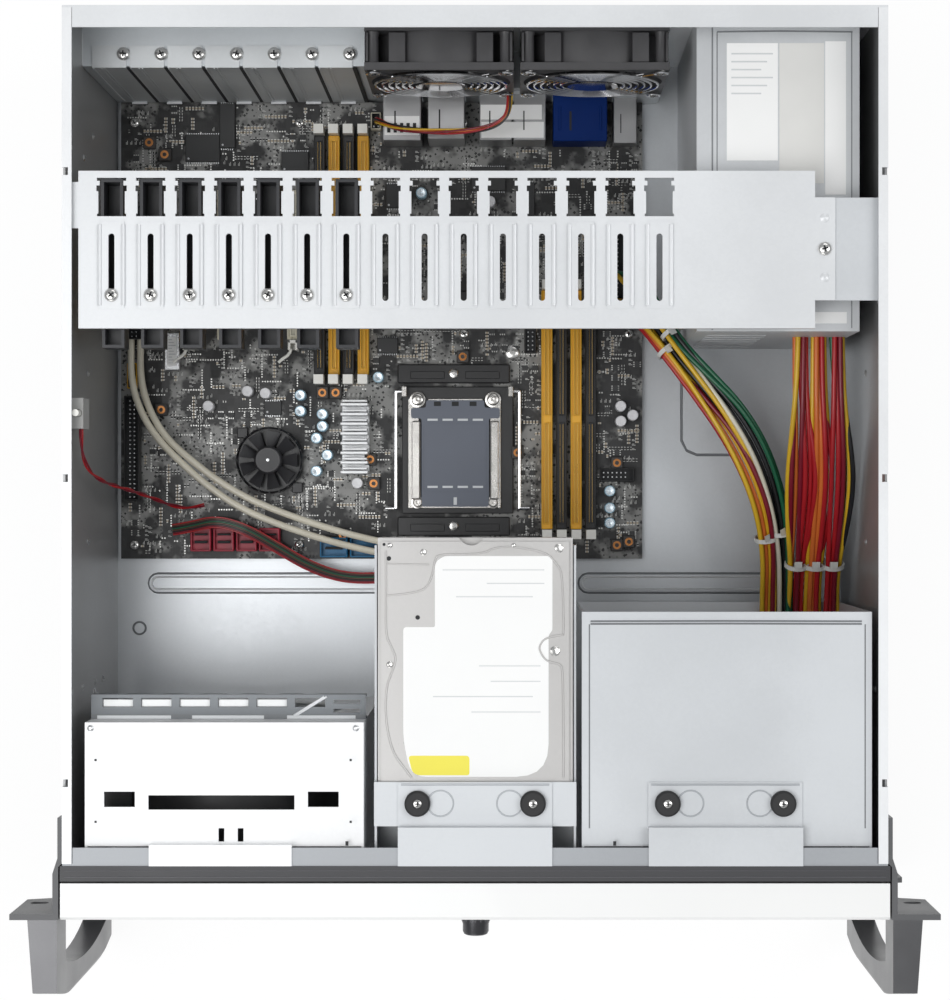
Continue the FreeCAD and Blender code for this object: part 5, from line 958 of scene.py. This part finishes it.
build = bmesh.new()
for k, colour in ((0, 0), (1, 2), (2, 0), (4, 0)):
    bricks(build, (slot_line + card_pitch * k, 0, deck),
           ((-3.7, 60, 0), (3.7, 147, 11), colour, 0.4, (1.2, 1, colour)),
           *[((-1.9, start, 9.6), (1.9, end, 11.4), colour, 0.2, (1.1, 4, 1))
             for start, end in ((62, 74), (77, 145))])
make_piece("card_slot_bars", build, [cream, pierced, socket_yellow], "chassis", ("card_slots",))
build = bmesh.new()
for k in (1, 4):
    x = slot_line + card_pitch * k
    bricks(build, (x, 0, deck), ((-2.8, 53.6, 2), (-1.4, 59.6, 16)), ((1.4, 53.6, 2), (2.8, 59.6, 16)),
           ((-2.8, 57.6, 12), (2.8, 59.6, 16)))
    lathe(build, (x - 2.8, 57, deck + 3), [(2.7, 0), (2.7, 5.6)], 16, 0, Matrix.Rotation(quarter, 3, "Y"))
    tail = ((-1.4, 54.6), (-1.8, 52.6), (-3.4, 50.6), (-6.4, 48.6), (-8.6, 46.6))
    wire(build, [(x + a, b, deck + 12) for a, b in tail], 0.9, 8)
make_piece("card_latch_hooks", build, [latch_white], "card_slot_latches", ("card_slot_latches",))


# Processor socket.  A steel load frame with four corner screws holds a blue-grey moulded cap
# with two rows of slots, and a lever bent from bright wire runs at either side.
coat(chrome, "cpu_lever_left", "cpu_lever_right")
socket_steel = moulded("socket_steel", (0.66, 0.64, 0.61), 0.24, 0.1, 1100, 0.00002, 0.9)
cap_blue = moulded("cap_plastic", (0.115, 0.13, 0.165), 0.42, 0.08, 1500, 0.00003, cloud_scale=50)
cpu_x, cpu_y = -13.8, -4.0
build = bmesh.new()
bricks(build, (0, 0, deck), ((-45, -41, 0), (20, 33, 3), 0, 0.4), ((-45, 27, 3), (-42, 33, 9), 1),
       ((17, 27, 3), (20, 33, 9), 1))
rail_rows = (40.5, -48.5)
for row in rail_rows:
    bricks(build, (0, row, deck), ((-47.5, -5.5, 0), (18, 5.5, 5), 0, 0.6),
           ((-40, -3, 4.9), (-20, 1.5, 5.4)), ((-8, -3, 4.9), (12, 1.5, 5.4)))
make_piece("socket_base", build, [socket_black, socket_steel], "chassis", ("cpu_socket",))
build = bmesh.new()
bricks(build, (cpu_x, cpu_y, deck),
       ((-25.6, -29, 4.2), (-20.2, 17, 7.6), 0, 0.9), ((-27.6, -34, 3.4), (-21.2, 30, 4.6)),
       ((20.2, -29, 4.2), (25.6, 17, 7.6), 0, 0.9), ((20.2, -34, 3.4), (26.6, 30, 4.6)),
       ((-25, -34, 3.4), (25, -30.4, 4.6)), ((-16, 27, 3.4), (16, 30, 4.6)))
make_piece("load_frame", build, [socket_steel], "load_plate", ("cpu_load_plate",))
build = bmesh.new()
outline = [(-19.6, -33), (19.6, -33), (19.6, 18.5), (25.8, 18.5), (25.8, 24.6), (17, 24.6), (17, 29),
           (-17, 29), (-17, 24.6), (-25.8, 24.6), (-25.8, 18.5), (-19.6, 18.5)]
plate(build, [(cpu_x + x, cpu_y + y) for x, y in rounded(outline, [1.5] * 12, 3)], deck + 4.7, deck + 6.4)
plate(build, [(cpu_x + x, cpu_y + y)
              for x, y in rounded([(-18.2, -24), (18.2, -24), (18.2, 15.4), (-18.2, 15.4)], [1.5] * 4, 3)],
      deck + 6.4, deck + 6.9)
bricks(build, (cpu_x, cpu_y, deck),
       *[((x - 3, y - 0.6, 6.3), (x + 3, y + 0.6, 6.95), 1, 0)
         for y in (-21.5, 17.6) for x in (-13.2, -4.4, 4.4, 13.2)],
       ((-1, -32, 6.3), (1, -27.6, 6.8), 1, 0.2),
       *[((x - 2, 25.6, 6.3), (x + 2, 28.2, 6.6), 2, 0.1) for x in (-10.4, 0, 10.4)])
make_piece("socket_cap", build,
           [cap_blue, moulded("cap_slots", (0.62, 0.64, 0.66), 0.5, 0.1), pierced], "load_plate",
           ("cpu_cover",))
stamp = bmesh.new()
lathe(stamp, (0, 0, 0), [(4.6, 0), (4.6, 0.7), (3.5, 0.9), (3.3, 0.9), (3.3, 2.1), (2.7, 2.5), (1.2, 2.5),
                         (1.0, 1.9), (0, 1.8)], 20)
lathe(stamp, (0, 0, 0), [(3.55, 0.92), (3.55, 1.0), (3.3, 1.0), (3.3, 0.92)], 20, 1)
spots = [((cpu_x + x, cpu_y + 29.4, deck + 4.6), FLAT, UNIT) for x in (-22, 22)]
spots += [((cpu_x + x, cpu_y - 30.5, deck + 4.6), FLAT, (0.8, 0.8, 0.85)) for x in (-22, 22)]
repeat("load_frame_screws", stamp, spots, [socket_steel, pierced], "load_plate")
stamp = bmesh.new()
lathe(stamp, (0, 0, 0), [(2.9, 0), (2.9, 0.8), (2.2, 1.5), (1.0, 1.7), (1.0, 1.2), (0, 1.2)], 16)
spots = [((-14.8, row, deck + 5), FLAT, UNIT) for row in rail_rows]
spots.append(((19.4, 53.2, deck), FLAT, (1.5, 1.5, 1)))
repeat("rail_screws", stamp, spots, [nickel])


# Coolers.  A finned aluminium sink stands left of the socket, and a small black fan with
# curved blades sits in a ribbed frame on the chipset.
fin_metal = moulded("fin_aluminium", (0.74, 0.75, 0.76), 0.35, 0.06, 1300, 0.00002, 0.45)
build = bmesh.new()
brick(build, (-80, -18, deck), (-64, 23, deck + 4), 0, 0.4)
for k in range(8):
    bricks(build, (0, 5.6 * k - 18, deck), ((-80, 0, 3.8), (-64, 1.8, 19), 0, 0.35),
           ((-79.2, 2.4, 3.8), (-64.8, 3.8, 14), 0, 0.2))
make_piece("finned_sink", build, [fin_metal], "chassis", ("heatsinks",))
build = bmesh.new()
chipset_x, chipset_y = -122, -10
turned = [(17.6, 0), (19.4, 0.4), (19.4, 8.4), (18.9, 9), (18.4, 8.6), (18.3, 6.4), (4, 6.4), (3.4, 6.9),
          (2.15, 6.9), (2.15, 0)]
lathe(build, (chipset_x, chipset_y, deck), turned, 40)
for k in range(20):
    a = 2 * math.pi * k / 20
    x, y = chipset_x + 18.9 * math.cos(a), chipset_y + 18.9 * math.sin(a)
    brick(build, (x - 0.6, y - 0.6, deck), (x + 0.6, y + 0.6, deck + 8.9), 0, 0.2)
for sx, sy in ((-1, 1), (1, -1)):
    x, y = chipset_x + sx * 16, chipset_y + sy * 16
    brick(build, (x - 3, y - 3, deck), (x + 3, y + 3, deck + 5), 0, 0.4)
make_piece("chipset_frame", build, [blade_black], "chassis", ("heatsinks",))
coat(moulded("chipset_blades", (0.03, 0.03, 0.033), 0.34, 0.15, 600), "chipset_rotor")
build = bmesh.new()
rotor_top = box_corners("chipset_rotor")[1].z
lathe(build, (chipset_x, chipset_y, rotor_top - 0.05), [(0.9, 0), (0.9, 0.2), (0, 0.25)], 12, 1)
lathe(build, (chipset_x, chipset_y, rotor_top - 0.05), [(6.6, 0), (6.6, 0.12), (6.2, 0.12), (6.2, 0)], 24, 0)
make_piece("chipset_hub", build, [fan_black, bright], "chipset_rotor")


# Parts on the board.  Chips, ribbon headers, drive connectors, choke coils and canned
# capacitors with sleeves of white or light blue.
BOARD_X, BOARD_Y = board_low.x, board_low.y
chip_grey = moulded("chip_epoxy", (0.035, 0.036, 0.037), 0.5, 0.2, 1800, 0.00003)
port_red = moulded("drive_port_red", (0.45, 0.03, 0.06), 0.4, 0.12)
port_blue = moulded("drive_port_blue", (0.01, 0.16, 0.34), 0.4, 0.12)
CHIPS = [(38, 232, 20, 16, 2.5), (58, 240, 9, 26, 3), (94, 226, 16, 12, 2), (155, 205, 14, 14, 2),
         (68, 200, 14, 10, 2), (84, 176, 12, 12, 2), (150, 120, 12, 9, 4), (84, 84, 10, 8, 2),
         (160, 150, 14, 8, 3), (205, 215, 20, 14, 3), (232, 200, 10, 20, 3)]
build = bmesh.new()
for x, y, length, width, height in CHIPS:
    bricks(build, (BOARD_X + x, BOARD_Y + y, deck), ((0, 0, 0), (length, width, height)),
           *[((0.6 + 1.3 * k, edge, 0.1), (1.1 + 1.3 * k, edge + 0.9, 0.5), 1, 0)
             for k in range(int(length / 1.3)) for edge in (-0.9, width)])
    lathe(build, (BOARD_X + x + 1.8, BOARD_Y + y + 1.8, deck + height),
          [(0.6, 0), (0.6, 0.05), (0, 0.05)], 10, 2)
bricks(build, (BOARD_X, BOARD_Y, deck),
       ((25.5, 150, 0), (35.5, 162, 2)), ((26, 110, 0), (35, 132, 5), 1, 0.5),
       ((27.6, 112.5, 5), (33.4, 129.5, 5.12), 3, 0),
       *[((28.4, 114 + 1.7 * k, 5.1), (32.6 - k % 3, 114.6 + 1.7 * k, 5.2), 2, 0) for k in range(9)],
       ((196, 150, 0), (220, 156, 3)))
make_piece("board_chips", build, [chip_grey, bright, print_grey, paper], "chassis", ("board_components",))
build = bmesh.new()
for x, y, length, width, height, colour in (
        (3, 34, 9, 61, 9, 0), (3.9, 99.4, 5.8, 15, 3, 1), (2.5, 128, 12, 6, 8, 0), (222, 1, 22, 8, 9, 0),
        (146.5, 250, 6, 10, 8, 2), (284, 138, 10, 52, 12, 0), (280, 45, 20, 8, 7, 0),
        (236, 120, 7, 26, 4, 0)):
    corner = Vector((BOARD_X + x, BOARD_Y + y, deck))
    brick(build, (0, 0, 0), (length, width, height), colour, 0.4, (1.0, height * 0.6, 3), at=corner)
    across, along = (length, width) if width > length else (width, length)
    for k in range(max(1, int(along / 2.54) - 1)):
        for row in (-1, 1):
            shift = (across / 2 + row * 1.27, 2.2 + 2.54 * k)
            pin = corner + Vector((shift if width > length else shift[::-1]) + (height * 0.3,))
            brick(build, (-0.35, -0.35, 0), (0.35, 0.35, height * 0.45), 4, 0, at=pin)
for k in range(4):
    bricks(build, (BOARD_X + 41.6 + 13.3 * k, BOARD_Y + 4.5, deck),
           ((0, 0, 0), (12, 13.5, 9), 5, 0.5, (1.2, 5, 5)), ((2.4, 4.6, 3), (9.6, 6.2, 8), 3, 0.2),
           ((2.4, 9.2, 3), (9.6, 10.4, 8), 3, 0.2))
for k in range(2):
    bricks(build, (BOARD_X + 117 + 17.5 * k, BOARD_Y + 1, deck),
           ((0, 0, 0), (16, 11.5, 9), 6, 0.5, (1.2, 5, 6)), ((3, 4.6, 3), (13, 6, 8), 3, 0.2))
make_piece("board_headers", build,
           [socket_black, socket_yellow, cream, pierced, bright, port_red, port_blue], "chassis",
           ("board_components",))

sleeve_white = moulded("sleeve_white", (0.8, 0.8, 0.82), 0.35, 0.05)
sleeve_blue = moulded("sleeve_blue", (0.42, 0.62, 0.74), 0.35, 0.05)
can_top = moulded("can_top", (0.7, 0.78, 0.84), 0.25, 0.08, metallic=0.6)
stamp = bmesh.new()
lathe(stamp, (0, 0, 0), [(3.0, 0), (3.2, 0.4), (3.2, 9.2), (2.9, 9.8), (2.6, 9.8)], 18, 1)
lathe(stamp, (0, 0, 0), [(2.6, 9.7), (2.5, 9.9), (0.5, 9.86), (0, 9.7)], 18, 0)
blue_cans = [(105.6, 95.4), (105.6, 86.1), (118.4, 84.3), (118.4, 77.3), (114.9, 70.4), (121.3, 60.5),
             (114.9, 51.2), (285.7, 39.6), (285.7, 29.7), (285.7, 21), (150.9, 105.8), (176, 213), (140, 206)]
white_cans = [(74.8, 97.7), (85.2, 96.5), (292.1, 89), (299.1, 83.7), (292.1, 80.2), (138.7, 44.2),
              (216, 208), (52, 89), (66, 131)]
for label, cans, sleeve in (("blue", blue_cans, sleeve_blue), ("white", white_cans, sleeve_white)):
    copy = stamp.copy()
    repeat("cans_" + label, copy,
           [((BOARD_X + x, BOARD_Y + y, deck), (0, 0, 0.7 * k), UNIT) for k, (x, y) in enumerate(cans)],
           [can_top if label == "blue" else sleeve_white, sleeve], replaces=("board_components",))
stamp.free()
ferrite = moulded("ferrite", (0.05, 0.047, 0.045), 0.55, 0.2)
copper = moulded("coil_copper", (0.5, 0.21, 0.07), 0.3, 0.15, metallic=0.8)
stamp = bmesh.new()
brick(stamp, (-3.6, -3.6, 0), (3.6, 3.6, 4.2), 0, 0.5)
lathe(stamp, (0, 0, 0), [(2.4, 4.1), (2.4, 4.5), (1.2, 4.5), (1.2, 4.1)], 14, 1)
coils = [(118 + 7.8 * k, 97) for k in range(2)]
coils += [(24, 87), (232, 62), (240, 180), (17, 243), (146, 58), (148, 44), (130, 14), (290, 8), (297, 10),
          (290, 56), (26, 236), (200, 118)]
repeat("choke_coils", stamp, [((BOARD_X + x, BOARD_Y + y, deck), FLAT, UNIT) for x, y in coils],
       [ferrite, copper])


# Tiny parts.  Ceramic chips, resistors, small packages, solder pads and printed marks, soldered
# or printed in short rows all over the board, clear of the larger parts.
dice = random.Random(41)
taken = [(-209, 58, -90, 148)]
for x, y, length, width, height in CHIPS:
    taken.append((BOARD_X + x - 1, BOARD_Y + y - 1, BOARD_X + x + length + 1, BOARD_Y + y + width + 1))
taken += [(-97, 38, -63, 181), (35.6, -52, 69, 91), (-52, -55, 22, 47), (-81, -19, -63, 24),
          (-142, -30, -102, 10), (-207, -35, -196, 50), (-169, -64, -112, -48), (-94, -68, -56, -53),
          (-57, 172, 96, 201), (-185, 41, -172, 66), (72, 68, 88, 124)]
for reach, parts in ((3.6, blue_cans + white_cans), (4, coils)):
    taken += [(BOARD_X + x - reach, BOARD_Y + y - reach, BOARD_X + x + reach, BOARD_Y + y + reach)
              for x, y in parts]


def clear_rows(count, pitch, most):
    """Short straight rows of spots on the board that keep off the large parts."""
    rows = []
    while len(rows) < count:
        x = dice.uniform(board_low.x + 3, board_high.x - 3)
        y = dice.uniform(board_low.y + 3, board_high.y - 3)
        upright = dice.random() < 0.5
        for k in range(dice.randint(1, most)):
            spot = (x + (0 if upright else pitch * k), y + (pitch * k if upright else 0))
            inside = (board_low.x + 2 < spot[0] < board_high.x - 2
                      and board_low.y + 2 < spot[1] < board_high.y - 2)
            if inside and not any(a < spot[0] < c and b < spot[1] < d for a, b, c, d in taken):
                rows.append(((spot[0], spot[1], deck), (0, 0, 0 if upright else quarter), UNIT))
    return rows


solder = moulded("solder", (0.6, 0.6, 0.58), 0.32, 0.15, metallic=0.7)
for label, size, body, count, pitch, most in (
        ("ceramic_chips", (1.9, 1.1, 0.9),
         moulded("ceramic_tan", (0.42, 0.35, 0.26), 0.5, 0.25), 620, 1.9, 7),
        ("resistor_chips", (1.8, 1.0, 0.6),
         moulded("resistor_black", (0.03, 0.03, 0.03), 0.5, 0.2), 620, 1.8, 8),
        ("small_packages", (4.6, 3.4, 1.5), chip_grey, 90, 6.0, 3)):
    long, wide, tall = size
    stamp = bmesh.new()
    brick(stamp, (-long * 0.32, -wide / 2, 0), (long * 0.32, wide / 2, tall), 0, 0)
    for side in (-1, 1):
        low, high = sorted((side * long * 0.32, side * long / 2))
        if label == "small_packages":
            for row in (-1.2, 0, 1.2):
                brick(stamp, (low, row - 0.3, 0), (high, row + 0.3, 0.5), 1, 0)
        else:
            brick(stamp, (low, -wide / 2, 0), (high, wide / 2, tall), 1, 0)
    repeat(label, stamp, clear_rows(count, pitch, most), [body, solder])
silk = moulded("silk_print", (0.6, 0.6, 0.58), 0.6, 0.1)
stamp = bmesh.new()
lathe(stamp, (0, 0, 0), [(0.5, 0), (0.5, 0.06), (0, 0.08)], 6)
repeat("solder_pads", stamp, clear_rows(1500, 1.5, 9), [solder])
stamp = bmesh.new()
brick(stamp, (-1.1, -0.16, 0), (1.1, 0.16, 0.03), 0, 0)
brick(stamp, (-1.1, 0.5, 0), (0.3, 0.8, 0.03), 0, 0)
repeat("print_marks", stamp, clear_rows(1100, 2.6, 4), [silk])


# Lid switch.  A small moulded snap switch, grey, screwed to the left wall near its top edge,
# with a sprung plunger in white nylon that the lid presses down.
coat(moulded("switch_body_grey", (0.42, 0.42, 0.41), 0.45, 0.1), "intrusion_switch")
coat(latch_white, "switch_plunger")


# Power plugs.  Five plugs moulded in black nylon, where the supply's and the board's leads
# end side by side inside the drive cage.
coat(moulded("plug_nylon", (0.03, 0.03, 0.032), 0.42, 0.15), "supply_plugs")
